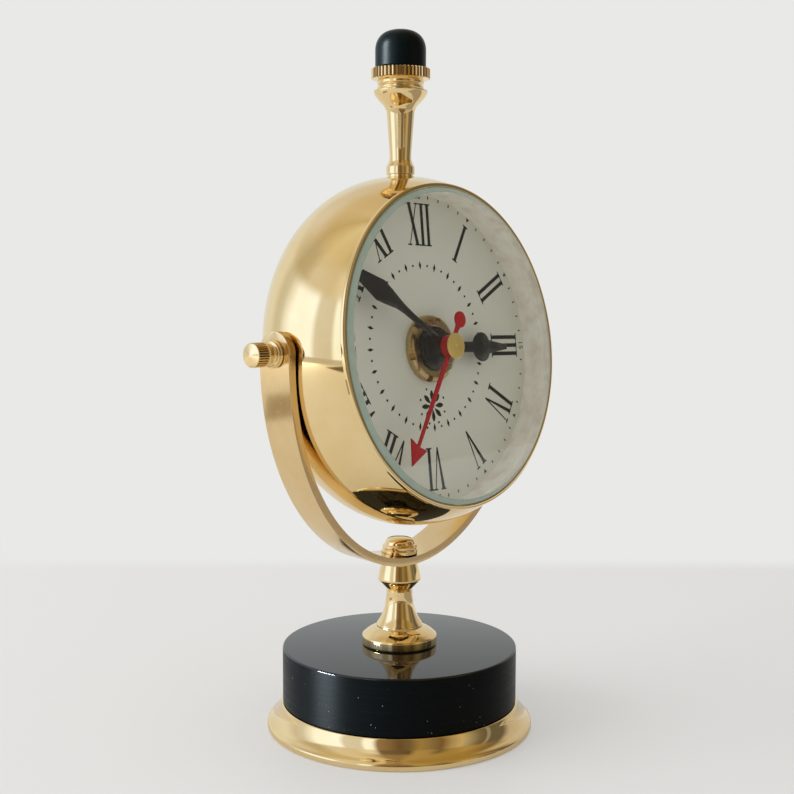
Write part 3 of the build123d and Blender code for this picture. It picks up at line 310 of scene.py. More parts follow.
def along(direction):
    """How far a ray of the room points along a direction."""
    ray = room.add("ShaderNodeTexCoord", output="Generated")
    sockets = {0: ray, 1: tuple(direction)}
    return room.add("ShaderNodeVectorMath", {"operation": "DOT_PRODUCT"}, sockets, "Value")


to_the_right = Vector((math.cos(azimuth), math.sin(azimuth), 0.0))
heading = room.maths("ARCTAN2", along(to_the_right), along(towards_camera)) / (2 * math.pi) + 0.5
lift = along((0.0, 0.0, 1.0))
low_row, middle_row, high_row = [row_of_tones(heading, row) for row in (LOW_TONES, MIDDLE_TONES, HIGH_TONES)]
lower = lift.rise(MIDDLE_FROM, MIDDLE_TO).blend(low_row, middle_row)
tones = lift.rise(HIGH_FROM, HIGH_TO).blend(lower, high_row)
ray_kind = room.add("ShaderNodeLightPath", output="Is Glossy Ray")
mirrored_ray = (ray_kind + ray_kind.out("Is Transmission Ray")) > 0.5
room_glow = room.add("ShaderNodeBackground", {}, {"Color": ROOM_TINT, "Strength": ROOM_LIGHT})
room_mirrored = room.add("ShaderNodeBackground", {}, {"Color": tones, "Strength": 1.0})
room_seen = room.add("ShaderNodeBackground", {}, {"Color": WALL_COLOUR, "Strength": 1.0})
room_half = room.add("ShaderNodeMixShader", {}, {0: mirrored_ray, 1: room_glow, 2: room_mirrored})
camera_ray = ray_kind.out("Is Camera Ray")
room_whole = room.add("ShaderNodeMixShader", {}, {0: camera_ray, 1: room_half, 2: room_seen})
room.add("ShaderNodeOutputWorld", {}, {"Surface": room_whole})


def round_the_clock(degrees_right, degrees_up, distance):
    """A place on a ball round the clock, with the turn that faces a thing there towards the clock."""
    angle = math.radians(CAMERA_AZIMUTH_DEG + degrees_right)
    up = math.radians(degrees_up)
    flat = Vector((math.sin(angle), -math.cos(angle), 0.0)) * math.cos(up)
    outward = flat + Vector((0.0, 0.0, math.sin(up)))
    middle = Vector((0.0, 0.0, (cad_box[0].z + cad_box[1].z) / 2))
    facing = outward.to_track_quat("Z", "Y").to_matrix().to_4x4()
    return Matrix.Translation(middle + outward * distance) @ facing


def soft_lamp(name, degrees_right, degrees_up, size, light):
    """A glowing sheet that faces the clock, unseen by the camera."""
    sheet = bpy.data.lights.new(name, "AREA")
    sheet.shape = "RECTANGLE"
    sheet.size, sheet.size_y = size
    sheet.energy = light * math.pi * size[0] * size[1]
    sheet.color = LAMP_TINT
    lamp = bpy.data.objects.new(name, sheet)
    bpy.context.scene.collection.objects.link(lamp)
    lamp.matrix_world = round_the_clock(degrees_right, degrees_up, WINDOW_DISTANCE_M)
    lamp.visible_camera = False
    return lamp


for number, (degrees_right, degrees_up) in enumerate(WINDOW_PANES):
    pane = soft_lamp("window_pane_" + str(number), degrees_right, degrees_up, WINDOW_SIZE_M, WINDOW_LIGHT)
    pane.visible_glossy = False
print("light:", len(WINDOW_PANES), "panes,", len(LOW_TONES + MIDDLE_TONES + HIGH_TONES), "tones")

# %% [markdown]
# What stands about on the table and in the room dims its mirror image. Sheets on the table that only
# mirrors can see stand for that: on the left for the brown part of the yoke's arm, on the right for
# the yoke's edge, and in front, past the table's end, for the dark streaks of the neck. They are clear
# from below, so that the table under them keeps its own sheen.

# %% Dim floor
# Each sheet: degrees to the right of the camera, from and to in metres, half width, tone
DIM_SHEETS = {
    "dim_left": (-81.0, 0.205, 0.31, 0.06, (0.43, 0.37, 0.29, 1.0)),
    "dim_right": (87.0, 0.12, 0.50, 0.15, (0.40, 0.36, 0.33, 1.0)),
    "dim_front": (15.0, 0.55, 9.0, 0.8, (0.20, 0.15, 0.09, 1.0)),
}
DIM_LIFT_M = 0.001


def dim_sheet(name, degrees_right, near, far, half_width, tone):
    spot = round_the_clock(degrees_right, 0.0, (near + far) / 2).translation
    turn = Matrix.Rotation(math.radians(CAMERA_AZIMUTH_DEG + degrees_right), 4, "Z")
    sheet = bpy.data.objects.new(name, sheet_mesh(name, half_width, (far - near) / 2))
    sheet.data.transform(Matrix.Translation((spot.x, spot.y, DIM_LIFT_M)) @ turn)
    bpy.context.scene.collection.objects.link(sheet)
    material, tree = start_finish(name)
    glow = tree.add("ShaderNodeEmission", {}, {"Color": tone, "Strength": 1.0})
    clear = tree.add("ShaderNodeBsdfTransparent")
    from_below = tree.add("ShaderNodeNewGeometry", output="Backfacing")
    one_sided = tree.add("ShaderNodeMixShader", {}, {0: from_below, 1: glow, 2: clear})
    tree.add("ShaderNodeOutputMaterial", {}, {"Surface": one_sided})
    sheet.data.materials.append(material)
    for kind in ("camera", "diffuse", "shadow", "transmission"):
        setattr(sheet, "visible_" + kind, False)


for name, sizes in DIM_SHEETS.items():
    dim_sheet(name, *sizes)
print("dim floor:", len(DIM_SHEETS), "sheets")

# %% [markdown]
# ## Brass
# The real brass was turned on a lathe or spun over a form, then polished. Close up it keeps
# very fine lines round each piece, soft waves, a few pits and a slightly uneven lacquer. A noise
# that is stretched round the piece's own UV map gives the lines; the rest uses Object coordinates.

# %% Brass finishes
TURNING_MAP = "turning"


def turned_place(tree, wraps, lines_per_mm):
    """A coordinate that runs round a turned piece without a seam, and along its outline."""
    uv = tree.add("ShaderNodeUVMap", {"uv_map": TURNING_MAP})
    parts = tree.add("ShaderNodeSeparateXYZ", {}, {0: uv}, "X")
    angle = parts * (2 * math.pi)
    along = parts.out("Y") * lines_per_mm
    sockets = {"X": angle.call("COSINE") * wraps, "Y": angle.call("SINE") * wraps, "Z": along}
    return tree.add("ShaderNodeCombineXYZ", {}, sockets)


def place_in_mm(tree):
    """Object coordinates, in millimetres."""
    place = tree.add("ShaderNodeTexCoord", output="Object")
    return tree.add("ShaderNodeVectorMath", {"operation": "SCALE"}, {0: place, "Scale": 1 / MM})


def noise(tree, place, scale, detail=3.0, roughness=0.55):
    sockets = {"Vector": place, "Scale": scale, "Detail": detail, "Roughness": roughness}
    return tree.add("ShaderNodeTexNoise", {}, sockets, "Fac")


def relief(tree, height):
    """A bump from a height in millimetres."""
    return tree.add("ShaderNodeBump", {}, {"Strength": 1.0, "Distance": MM, "Height": height})


def end_finish(material, tree, sockets):
    """Close a net with one Principled shader that has these sockets."""
    shader = tree.add("ShaderNodeBsdfPrincipled", {}, sockets)
    tree.add("ShaderNodeOutputMaterial", {}, {"Surface": shader})
    return material


def specks(tree, place, scale, least, most):
    """Small spots, 1 in their middle, about 1 / scale millimetres apart."""
    cells = tree.add("ShaderNodeTexVoronoi", {}, {"Vector": place, "Scale": scale}, "Distance")
    return 1 - cells.rise(least, most)


def brass_finish(name, bright, deep, roughness, line_height, lines_per_mm=5.0, metal=1.0):
    """Polished or satin brass. Heights are in millimetres."""
    material, tree = start_finish(name)
    place = place_in_mm(tree)
    lines = noise(tree, turned_place(tree, 0.6, lines_per_mm), 1.0, 2.0, 0.6)
    cloud = noise(tree, place, 0.09, 4.0)
    smudge = noise(tree, place, 0.35, 5.0, 0.65).rise(0.52, 0.72)
    wave = noise(tree, place, 0.12, 1.0)
    pits = specks(tree, place, 0.55, 0.03, 0.09) * noise(tree, place, 0.2).rise(0.5, 0.62)
    tint = cloud.rise(0.35, 0.7) * 0.6 + pits * 0.4
    colour = tint.blend((*bright, 1.0), (*deep, 1.0))
    dull = lines * 0.3 + smudge * 0.5 + cloud * 0.2
    rough = dull * roughness + (0.5 * roughness) + pits * 0.15
    bump = relief(tree, lines * line_height + wave * 0.004 - pits * 0.01)
    sockets = {"Base Color": colour, "Metallic": metal, "Roughness": rough, "Normal": bump}
    return end_finish(material, tree, sockets)


BRASS_BRIGHT = (0.88, 0.68, 0.36)
BRASS_DEEP = (0.82, 0.60, 0.27)
polished_brass = brass_finish("turned_brass", BRASS_BRIGHT, BRASS_DEEP, 0.065, 0.0008)
satin_brass = brass_finish("fine_lined_brass", BRASS_BRIGHT, BRASS_DEEP, 0.19, 0.003, 3.0)
yoke_brass = brass_finish("strip_brass", (0.82, 0.62, 0.33), (0.74, 0.53, 0.25), 0.20, 0.001, 4.0)
aged_brass = brass_finish("dark_brass", (0.60, 0.44, 0.21), (0.33, 0.22, 0.10), 0.32, 0.006, 2.0)
# Painted shade for the bottoms of the knurls' grooves: a dark, rough brass
groove_shade_brass = brass_finish("groove_shade_brass", (0.40, 0.26, 0.11), (0.26, 0.16, 0.06), 0.4, 0.004, 2.0)
cap_brass = brass_finish("cap_brass", (0.82, 0.58, 0.17), (0.60, 0.40, 0.10), 0.45, 0.012, 2.5, 0.55)
print("brass:", [m.name for m in bpy.data.materials if "brass" in m.name])

# %% [markdown]
# ## Black, red, glass, paint
# The disc under the column is black and polished on top, with turned lines and a little dust on
# its side. The knob is satin black. The hands are thin painted metal. The glass is thick enough
# to show a green edge, and lets light straight through to the dial, so that the dial stays clean.


# %% Other finishes
def paint_finish(
    name, colour, mark_colour, roughness, coat=0.0, speck=0.0, grain=0.0006, gloss=0.5, patchy=0.35
):
    """Paint, lacquer or moulded plastic with a fine skin, soft patches and a little dust."""
    material, tree = start_finish(name)
    place = place_in_mm(tree)
    patch = noise(tree, place, 0.25, 4.0)
    fine = noise(tree, place, 6.0, 2.0)
    dust = specks(tree, place, 0.9, 0.05, 0.11) * noise(tree, place, 0.5).rise(0.52, 0.6) * speck
    mixed = (patch.rise(0.35, 0.75) * patchy + dust).blend((*colour, 1.0), (*mark_colour, 1.0))
    rough = patch * (0.5 * roughness) + fine * (0.2 * roughness) + (0.65 * roughness) + dust * 0.3
    sockets = {"Base Color": mixed, "Roughness": rough, "Normal": relief(tree, fine * grain)}
    sockets.update({"Coat Weight": coat, "Specular IOR Level": gloss})
    return end_finish(material, tree, sockets)


def base_side_finish():
    """The turned black side of the disc: fine lines round it, pale dust."""
    material, tree = start_finish("lined_black")
    place = place_in_mm(tree)
    lines = noise(tree, turned_place(tree, 0.8, 2.6), 1.0, 3.0, 0.7)
    scratch = noise(tree, turned_place(tree, 1.6, 9.0), 1.0, 1.0).rise(0.66, 0.74)
    dust = specks(tree, place, 0.95, 0.05, 0.12) * noise(tree, place, 0.3).rise(0.53, 0.58)
    mask = dust * 0.65 + scratch * 0.008 + lines * 0.002
    colour = mask.blend((0.0008, 0.0016, 0.0019, 1.0), (0.40, 0.42, 0.45, 1.0))
    rough = lines * 0.25 + 0.32 + dust * 0.3
    sockets = {"Base Color": colour, "Roughness": rough, "Normal": relief(tree, lines * 0.05)}
    sockets.update({"Specular IOR Level": 0.08, "Anisotropic": 0.85, "Anisotropic Rotation": 0.25})
    return end_finish(material, tree, sockets)


GLASS_TINT = (0.98, 0.995, 0.985, 1.0)
GLASS_SHADE = (0.96, 0.97, 0.96, 1.0)


def glass_finish():
    """Glass to the eye, and clear to light on its way to the dial."""
    material, tree = start_finish("polished_glass")
    sockets = {"Base Color": GLASS_TINT, "Roughness": 0.0, "IOR": 1.5, "Transmission Weight": 1.0}
    shader = tree.add("ShaderNodeBsdfPrincipled", {}, sockets)
    clear = tree.add("ShaderNodeBsdfTransparent", {}, {"Color": GLASS_SHADE})
    shadow = tree.add("ShaderNodeLightPath", output="Is Shadow Ray")
    through = (shadow + shadow.out("Is Diffuse Ray")) > 0.5
    mixed = tree.add("ShaderNodeMixShader", {}, {0: through, 1: shader, 2: clear})
    tree.add("ShaderNodeOutputMaterial", {}, {"Surface": mixed})
    return material


def metal_finish(name, colour, roughness):
    """Plain metal with fine brushed skin."""
    material, tree = start_finish(name)
    place = place_in_mm(tree)
    skin = noise(tree, place, 3.0, 4.0)
    patch = noise(tree, place, 0.3, 3.0)
    shade = tuple(0.7 * part for part in colour)
    mixed = patch.rise(0.3, 0.75).blend((*colour, 1.0), (*shade, 1.0))
    rough = skin * (0.5 * roughness) + (0.75 * roughness)
    sockets = {"Base Color": mixed, "Metallic": 1.0, "Roughness": rough, "Normal": relief(tree, skin * 0.002)}
    return end_finish(material, tree, sockets)


base_side = base_side_finish()
base_top = paint_finish(
    "polished_black", (0.003, 0.0035, 0.0035), (0.008, 0.009, 0.009), 0.05, speck=0.2, grain=0.0
)
black_knob = paint_finish(
    "satin_black", (0.0008, 0.0026, 0.0028), (0.002, 0.005, 0.0055), 0.34, speck=0.03, grain=0.003, gloss=0.1
)
black_hand = paint_finish(
    "hand_black", (0.002, 0.0023, 0.002), (0.005, 0.0055, 0.005), 0.1, grain=0.0005, gloss=0.45
)
red_hand = paint_finish(
    "hand_red", (0.42, 0.0015, 0.007), (0.33, 0.002, 0.007), 0.25, grain=0.001, gloss=0.15
)
dial_white = paint_finish(
    "dial_paint", (0.70, 0.68, 0.585), (0.66, 0.635, 0.54), 0.45, speck=0.05, grain=0.001
)
dial_ink = paint_finish("dial_print", (0.006, 0.0065, 0.0065), (0.014, 0.015, 0.014), 0.5, gloss=0.15)
cream_wall = paint_finish(
    "inner_cream", (0.96, 0.92, 0.83), (0.70, 0.57, 0.45), 0.5, speck=0.3, grain=0.01, patchy=0.6
)
glass_edge = paint_finish("ground_glass", (0.30, 0.37, 0.30), (0.40, 0.47, 0.40), 0.22)
clear_glass = glass_finish()
print("finishes:", len(bpy.data.materials))

# %% [markdown]
# ## Turning
# Nearly every visible piece was made on a lathe, so one helper turns an outline about an axis.
# A corner of the outline may carry a rounding, because real edges are never quite sharp, and it
# is the rounded edge that catches the light.

# %% Lathe
SPIN_STEPS = 192
SMALL_STEPS = 96
ROUND_STEPS = 5
SHARP_DEG = 38.0
FINE_SHARP_DEG = 30.0
upright = Matrix.Identity(4)


def soften(outline, closed):
    """The outline as points. A corner is (radius, height) or (radius, height, rounding), in mm."""
    points = []
    for index, (radius, height, *rest) in enumerate(outline):
        here = Vector((radius, height))
        at_end = not closed and index in (0, len(outline) - 1)
        if not rest or at_end:
            points.append(here)
            continue
        to_before = Vector(outline[index - 1][:2]) - here
        to_after = Vector(outline[(index + 1) % len(outline)][:2]) - here
        start = here + to_before.normalized() * min(rest[0], 0.48 * to_before.length)
        stop = here + to_after.normalized() * min(rest[0], 0.48 * to_after.length)
        for step in range(ROUND_STEPS + 1):
            share = step / ROUND_STEPS
            points.append(start.lerp(here, share).lerp(here.lerp(stop, share), share))
    return points


def bow(start, stop, pull, steps=10):
    """Points of a curve from start to stop that leans towards pull, without its two ends."""
    first, last, middle = Vector(start), Vector(stop), Vector(pull)
    shares = [step / steps for step in range(1, steps)]
    return [tuple(first.lerp(middle, s).lerp(middle.lerp(last, s), s)) for s in shares]


def arc(centre, radius, start_deg, stop_deg, steps):
    """Points of a round arc, in the outline's own plane."""
    angles = [math.radians(start_deg + (stop_deg - start_deg) * step / steps) for step in range(steps + 1)]
    return [(centre[0] + radius * math.cos(a), centre[1] + radius * math.sin(a)) for a in angles]


def lifted(profile, level):
    """An outline whose heights were written from nought, moved up to a level."""
    return [(radius, level + rise, *rest) for radius, rise, *rest in profile]


def drum(radius, low, high):
    """The outline of a plain cylinder, for cutting."""
    return [(0.0, low), (radius, low), (radius, high), (0.0, high)]


def mark_sharp(build, limit_deg=SHARP_DEG):
    """Smooth faces, with the edges that fold by more than the limit left sharp."""
    for face in build.faces:
        face.smooth = True
    for edge in build.edges:
        if len(edge.link_faces) == 2:
            edge.smooth = edge.calc_face_angle(0.0) < math.radians(limit_deg)


def mesh_from(build, name):
    """A plain mesh from what was built."""
    mesh = bpy.data.meshes.new(name)
    build.to_mesh(mesh)
    build.free()
    return mesh


def turned_mesh(name, outline, closed=False, steps=SPIN_STEPS):
    """A mesh turned about Z, in millimetres, with the round and the run along the outline as its UV."""
    points = soften(outline, closed)
    if closed:
        points.append(points[0])
    build = bmesh.new()
    uv = build.loops.layers.uv.new(TURNING_MAP)
    along = [0.0]
    for before, after in zip(points, points[1:]):
        along.append(along[-1] + (after - before).length)
    rows = []
    for point in points[:-1] if closed else points:
        if point.x < 0.0001:
            rows.append([build.verts.new((0.0, 0.0, point.y))] * (steps + 1))
            continue
        angles = [2 * math.pi * step / steps for step in range(steps)]
        row = [build.verts.new((point.x * math.cos(a), point.x * math.sin(a), point.y)) for a in angles]
        rows.append(row + row[:1])
    if closed:
        rows.append(rows[0])
    for level in range(len(rows) - 1):
        for step in range(steps):
            corners = []
            for side, row in ((step, level), (step + 1, level), (step + 1, level + 1), (step, level + 1)):
                vertex = rows[row][side]
                if vertex not in [corner[0] for corner in corners]:
                    corners.append((vertex, (side / steps, along[row])))
            if len(corners) < 3:
                continue
            face = build.faces.new([corner[0] for corner in corners])
            for loop, corner in zip(face.loops, corners):
                loop[uv].uv = corner[1]
    bmesh.ops.recalc_face_normals(build, faces=build.faces)
    mark_sharp(build)
    return mesh_from(build, name)


def set_in_place(mesh, place):
    """Put a mesh drawn in millimetres at its place in the frame, and wrap it in an object."""
    mesh.transform(place @ Matrix.Scale(MM, 4))
    piece = bpy.data.objects.new(mesh.name, mesh)
    bpy.context.scene.collection.objects.link(piece)
    return piece


def stand_in(piece, material, *nodes):
    """The piece takes over its CAD nodes: it joins their body, takes the material if one is given, and hides them.
    """
    if material is not None:
        piece.data.materials.clear()
        piece.data.materials.append(material)
    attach(piece, body_of_node[nodes[0]])
    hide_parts(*nodes)
    return piece


def turn_piece(node, outline, place, material, closed=False, steps=SPIN_STEPS):
    mesh = turned_mesh(node + "_turned", outline, closed, steps)
    return stand_in(set_in_place(mesh, place), material, node)


def part_finish(piece, material, chosen):
    """Give the faces that a rule picks a second finish."""
    piece.data.materials.append(material)
    for polygon in piece.data.polygons:
        polygon.material_index = 1 if chosen(polygon) else 0


def heights(node):
    """Lowest and highest level and largest radius of an upright node, in mm."""
    low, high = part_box(node)
    return low.z / MM, high.z / MM, high.x / MM


print("lathe ready,", SPIN_STEPS, "steps round")

# %% [markdown]
# ## Foot, disc and column
# The foot flares out like the mouth of a trumpet. The black disc stands on it, and the column is
# turned with a flange, a trumpet, a thin ring and a bead. All of them come off the lathe.

# %% Foot and disc
foot_low, foot_top, foot_r = heights("foot_ring")
disc_low, disc_top, disc_r = heights("base_disc")
FOOT_LIP = 1.5
FOOT_LEDGE_R = 29.9
FOOT_RECESS_R = 27.0
FOOT_RECESS_TOP = 3.2
FOOT_HOLE_R = 2.7
FOOT_PULL = (30.75, 2.9)
TOP_FACING = 0.35
foot_outline = [
    (FOOT_HOLE_R, foot_top),
    (FOOT_LEDGE_R, foot_top, 0.25),
    *bow((FOOT_LEDGE_R + 0.15, foot_top - 0.2), (foot_r - 0.15, FOOT_LIP + 0.35), FOOT_PULL, 14),
    (foot_r, FOOT_LIP, 0.35),
    (foot_r, foot_low + 0.25, 0.3),
    (foot_r - 0.6, foot_low, 0.2),
    (FOOT_RECESS_R, foot_low, 0.3),
    (FOOT_RECESS_R, FOOT_RECESS_TOP),
    (FOOT_HOLE_R, FOOT_RECESS_TOP),
]
turn_piece("foot_ring", foot_outline, upright, polished_brass, closed=True)

disc_outline = [
    (FOOT_HOLE_R, disc_low),
    (disc_r, disc_low, 0.5),
    (disc_r, disc_top, 0.55),
    (FOOT_HOLE_R, disc_top),
]
disc = turn_piece("base_disc", disc_outline, upright, base_side, closed=True)
part_finish(disc, base_top, lambda face: face.normal.z > TOP_FACING)
print("foot radius", round(foot_r, 2), "disc radius", round(disc_r, 2))

# %% Column
column_low, column_top, flange_r = heights("column")
column_h = column_top - column_low
TRUMPET_R = 5.85
WAIST_R = 3.3
BEAD_R = 5.4


def up_column(share):
    return column_low + share * column_h


column_outline = [
    (0.0, column_low),
    (flange_r - 0.35, column_low, 0.1),
    (flange_r, column_low + 0.35, 0.25),
    (flange_r, up_column(0.115), 0.35),
    *bow((flange_r - 0.4, up_column(0.128)), (6.1, up_column(0.212)), (8.0, up_column(0.182)), 8),
    (6.1, up_column(0.212)),
    (TRUMPET_R, up_column(0.218), 0.1),
    (TRUMPET_R, up_column(0.24), 0.15),
    *bow((5.8, up_column(0.248)), (WAIST_R, up_column(0.64)), (WAIST_R, up_column(0.40)), 18),
    (WAIST_R, up_column(0.655), 0.12),
    (3.0, up_column(0.662), 0.05),
    (3.1, up_column(0.67), 0.05),
    (5.2, up_column(0.772), 0.2),
    (BEAD_R, up_column(0.785), 0.15),
    (BEAD_R, up_column(0.803), 0.25),
    *bow((5.35, up_column(0.81)), (4.55, up_column(0.985)), (5.05, up_column(0.91)), 6),
    (4.5, column_top, 0.15),
    (0.0, column_top),
]
turn_piece("column", column_outline, upright, polished_brass)
print("column", round(column_h, 2), "mm tall")

# %% [markdown]
# ## Yoke
# The yoke is a flat strip bent into a U with rounded ends, and it leans forward a little. It is
# laid out upright as a row of cross lines along its run. Solidify gives it its thickness, Bevel
# breaks its edges, and a cut makes the flat seat under the dome screw.

# %% Yoke strip
yoke_low, yoke_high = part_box("yoke")
pivot = Vector(joint_named["case_tilt"]["pos_m"]) / MM
STRIP_T = 2.0
STRIP_W = 9.4
BEND_RISE = 56.2
END_RISE = 5.0
STRIP_STEP = 0.9
STRIP_UV_MM = 400.0
END_HALF_W = 0.25
END_STEPS = 12
LINE_STEPS = 720
EDGE_ROUND = 0.8
EDGE_STEPS = 5
EDGE_FOLD_DEG = 50.0
SEAT_R = 4.6
SEAT_CUT = 3.0
yoke_bottom = yoke_low.z / MM
strip_half_w = STRIP_W / 2
strip_r = yoke_high.x / MM - STRIP_T / 2
arm_rise = math.hypot(pivot.y, pivot.z - yoke_bottom) + END_RISE
yoke_lean = math.atan2(-pivot.y, pivot.z - yoke_bottom)
yoke_place = Matrix.Translation((0.0, 0.0, yoke_low.z)) @ Matrix.Rotation(yoke_lean, 4, "X")


def strip_line():
    """The strip's middle line, upright, and the run from its left end to each point."""
    angles = [math.pi * (1 + step / LINE_STEPS) for step in range(LINE_STEPS + 1)]
    bend_h = BEND_RISE - STRIP_T / 2
    line = [Vector((-strip_r, 0.0, arm_rise))]
    line += [Vector((strip_r * math.cos(a), 0.0, BEND_RISE + bend_h * math.sin(a))) for a in angles]
    line.append(Vector((strip_r, 0.0, arm_rise)))
    runs = [0.0]
    for before, after in zip(line, line[1:]):
        runs.append(runs[-1] + (after - before).length)
    return runs, line


strip_runs, strip_points = strip_line()
strip_l = strip_runs[-1]


def along_strip(run):
    """The middle of the strip at a run from its left end."""
    after = min(max(bisect.bisect_left(strip_runs, run), 1), len(strip_runs) - 1)
    start, stop = strip_runs[after - 1], strip_runs[after]
    return strip_points[after - 1].lerp(strip_points[after], (run - start) / (stop - start))


def strip_stations():
    """Runs along the strip with the half width there: round at both ends."""
    rounding = [math.radians(90.0 * step / END_STEPS) for step in range(END_STEPS)]
    ends = [(strip_half_w * (1 - math.cos(a)), max(strip_half_w * math.sin(a), END_HALF_W)) for a in rounding]
    count = int((strip_l - 2 * strip_half_w) / STRIP_STEP)
    spacing = (strip_l - 2 * strip_half_w) / count
    middle = [(strip_half_w + spacing * step, strip_half_w) for step in range(count + 1)]
    return ends + middle + [(strip_l - run, half) for run, half in reversed(ends)]


def strip_mesh():
    build = bmesh.new()
    uv = build.loops.layers.uv.new(TURNING_MAP)
    rows = []
    for run, half in strip_stations():
        spot = along_strip(run)
        edge = [build.verts.new(spot + Vector((0.0, side * half, 0.0))) for side in (-1, 0, 1)]
        rows.append((run, half, edge))
    for (run, half, edge), (next_run, next_half, next_edge) in zip(rows, rows[1:]):
        for side in (0, 1):
            face = build.faces.new([edge[side], edge[side + 1], next_edge[side + 1], next_edge[side]])
            near = [(run, half, side), (run, half, side + 1)]
            far = [(next_run, next_half, side + 1), (next_run, next_half, side)]
            for loop, (at, wide, line) in zip(face.loops, near + far):
                loop[uv].uv = (at / STRIP_UV_MM, wide * (line - 1))
    return mesh_from(build, "yoke_strip")


def shaped(piece):
    """Turn a piece's modifiers into plain mesh."""
    bpy.context.view_layer.update()
    graph = bpy.context.evaluated_depsgraph_get()
    result = piece.evaluated_get(graph)
    mesh = bpy.data.meshes.new_from_object(result, preserve_all_data_layers=True, depsgraph=graph)
    piece.modifiers.clear()
    old = piece.data
    piece.data = mesh
    bpy.data.meshes.remove(old)
    mesh.name = piece.name
    return piece


def tidy_mesh(piece, limit_deg=SHARP_DEG):
    """Face normals outwards and edges marked, on a finished mesh."""
    build = bmesh.new()
    build.from_mesh(piece.data)
    bmesh.ops.recalc_face_normals(build, faces=build.faces)
    mark_sharp(build, limit_deg)
    build.to_mesh(piece.data)
    build.free()
    return piece


def carve(piece, cutter):
    """Cut one piece with another, and drop the cutter."""
    cut = piece.modifiers.new("cut", "BOOLEAN")
    cut.operation = "DIFFERENCE"
    cut.solver = "EXACT"
    cut.object = cutter
    shaped(piece)
    mesh = cutter.data
    bpy.data.objects.remove(cutter)
    bpy.data.meshes.remove(mesh)
    return piece


yoke = set_in_place(strip_mesh(), yoke_place)
thicken = yoke.modifiers.new("thickness", "SOLIDIFY")
thicken.thickness = STRIP_T * MM
thicken.offset = 0.0
soft_edge = yoke.modifiers.new("edges", "BEVEL")
soft_edge.width = EDGE_ROUND * MM
soft_edge.segments = EDGE_STEPS
soft_edge.limit_method = "ANGLE"
soft_edge.angle_limit = math.radians(EDGE_FOLD_DEG)
yoke.data.materials.append(yoke_brass)
seat_top = yoke_bottom + STRIP_T
above = drum(SEAT_R, seat_top, seat_top + SEAT_CUT)
below = drum(SEAT_R, yoke_bottom - SEAT_CUT, yoke_bottom)
shaped(yoke)
for name, outline in (("seat_above", above), ("seat_below", below)):
    carve(yoke, set_in_place(turned_mesh(name, outline, steps=SMALL_STEPS), upright))
stand_in(tidy_mesh(yoke), yoke_brass, "yoke")
print("yoke strip", round(strip_l, 1), "mm long, leaning", round(math.degrees(yoke_lean), 2))

# %% [markdown]
# ## Knurled rings
# Thumbscrews and the crown have straight knurling for the fingers. The teeth repeat round the
# axis by a rule, so a Geometry Nodes tree cuts them: it moves each point inwards by a tooth wave
# of its angle, between two levels.


# %% Knurl tree
def new_tree(name, inputs):
    """A Geometry Nodes tree with named inputs: the tree, its input as a Wire, the identifiers."""
    tree = bpy.data.node_groups.new(name, "GeometryNodeTree")
    tree.interface.new_socket("Geometry", in_out="INPUT", socket_type="NodeSocketGeometry")
    for label, kind in inputs:
        tree.interface.new_socket(label, in_out="INPUT", socket_type=kind)
    tree.interface.new_socket("Geometry", in_out="OUTPUT", socket_type="NodeSocketGeometry")
    start = Wire(tree).add("NodeGroupInput", output="Geometry")
    names = {item.name: item.identifier for item in tree.interface.items_tree if item.in_out == "INPUT"}
    return tree, start, names


def end_tree(geometry, material):
    """Realize Instances and Set Material close every tree."""
    real = geometry.add("GeometryNodeRealizeInstances", {}, {"Geometry": geometry})
    dressed = real.add("GeometryNodeSetMaterial", {}, {"Geometry": real, "Material": material})
    dressed.add("NodeGroupOutput", {}, {"Geometry": dressed})


def knurl_tree():
    inputs = [("Teeth", "NodeSocketInt"), ("Material", "NodeSocketMaterial")]
    inputs += [(label, "NodeSocketFloat") for label in ("Depth", "Low", "High", "Least radius")]
    tree, start, names = new_tree("knurl", inputs)
    spot = start.add("GeometryNodeInputPosition")
    x = start.add("ShaderNodeSeparateXYZ", {}, {0: spot}, "X")
    y, z = x.out("Y"), x.out("Z")
    angle = start.maths("ARCTAN2", y, x)
    reach = (x * x + y * y).call("SQRT")
    wave = (angle * start.out("Teeth") / (2 * math.pi) + 0.25).call("FRACT")
    groove = 1 - (wave * 2 - 1).call("ABSOLUTE").rise(0.15, 0.75)
    level = (z > start.out("Low")) * (z < start.out("High")) * (reach > start.out("Least radius"))
    pull = groove * level * start.out("Depth") * -1.0
    sockets = {"X": pull * x / reach, "Y": pull * y / reach}
    offset = start.add("ShaderNodeCombineXYZ", {}, sockets)
    moved = start.add("GeometryNodeSetPosition", {}, {"Geometry": start, "Offset": offset})
    end_tree(moved, start.out("Material"))
    return tree, names


def run_tree(mesh, tree, names, values):
    """Run a tree on a mesh in millimetres and hand back a plain mesh."""
    carrier = bpy.data.objects.new(mesh.name, mesh)
    bpy.context.scene.collection.objects.link(carrier)
    modifier = carrier.modifiers.new("tree", "NODES")
    modifier.node_group = tree
    for label, value in values.items():
        modifier[names[label]] = value
    made = shaped(carrier).data
    bpy.data.objects.remove(carrier)
    return made


def darken_grooves(mesh, low, high, inner, outer):
    """Painted shade in the knurls: faces between two levels and two radii, down in the grooves, turn dark."""
    mesh.materials.append(groove_shade_brass)
    for polygon in mesh.polygons:
        x, y, z = polygon.center
        if low < z < high and inner < math.hypot(x, y) < outer:
            polygon.material_index = 1
    return mesh


knurl, knurl_names = knurl_tree()
print("knurl inputs:", sorted(knurl_names))

# %% [markdown]
# ## Thumbscrews
# Each thumbscrew has a collar on the yoke, a groove, a knurled grip and a turned cone at its end.

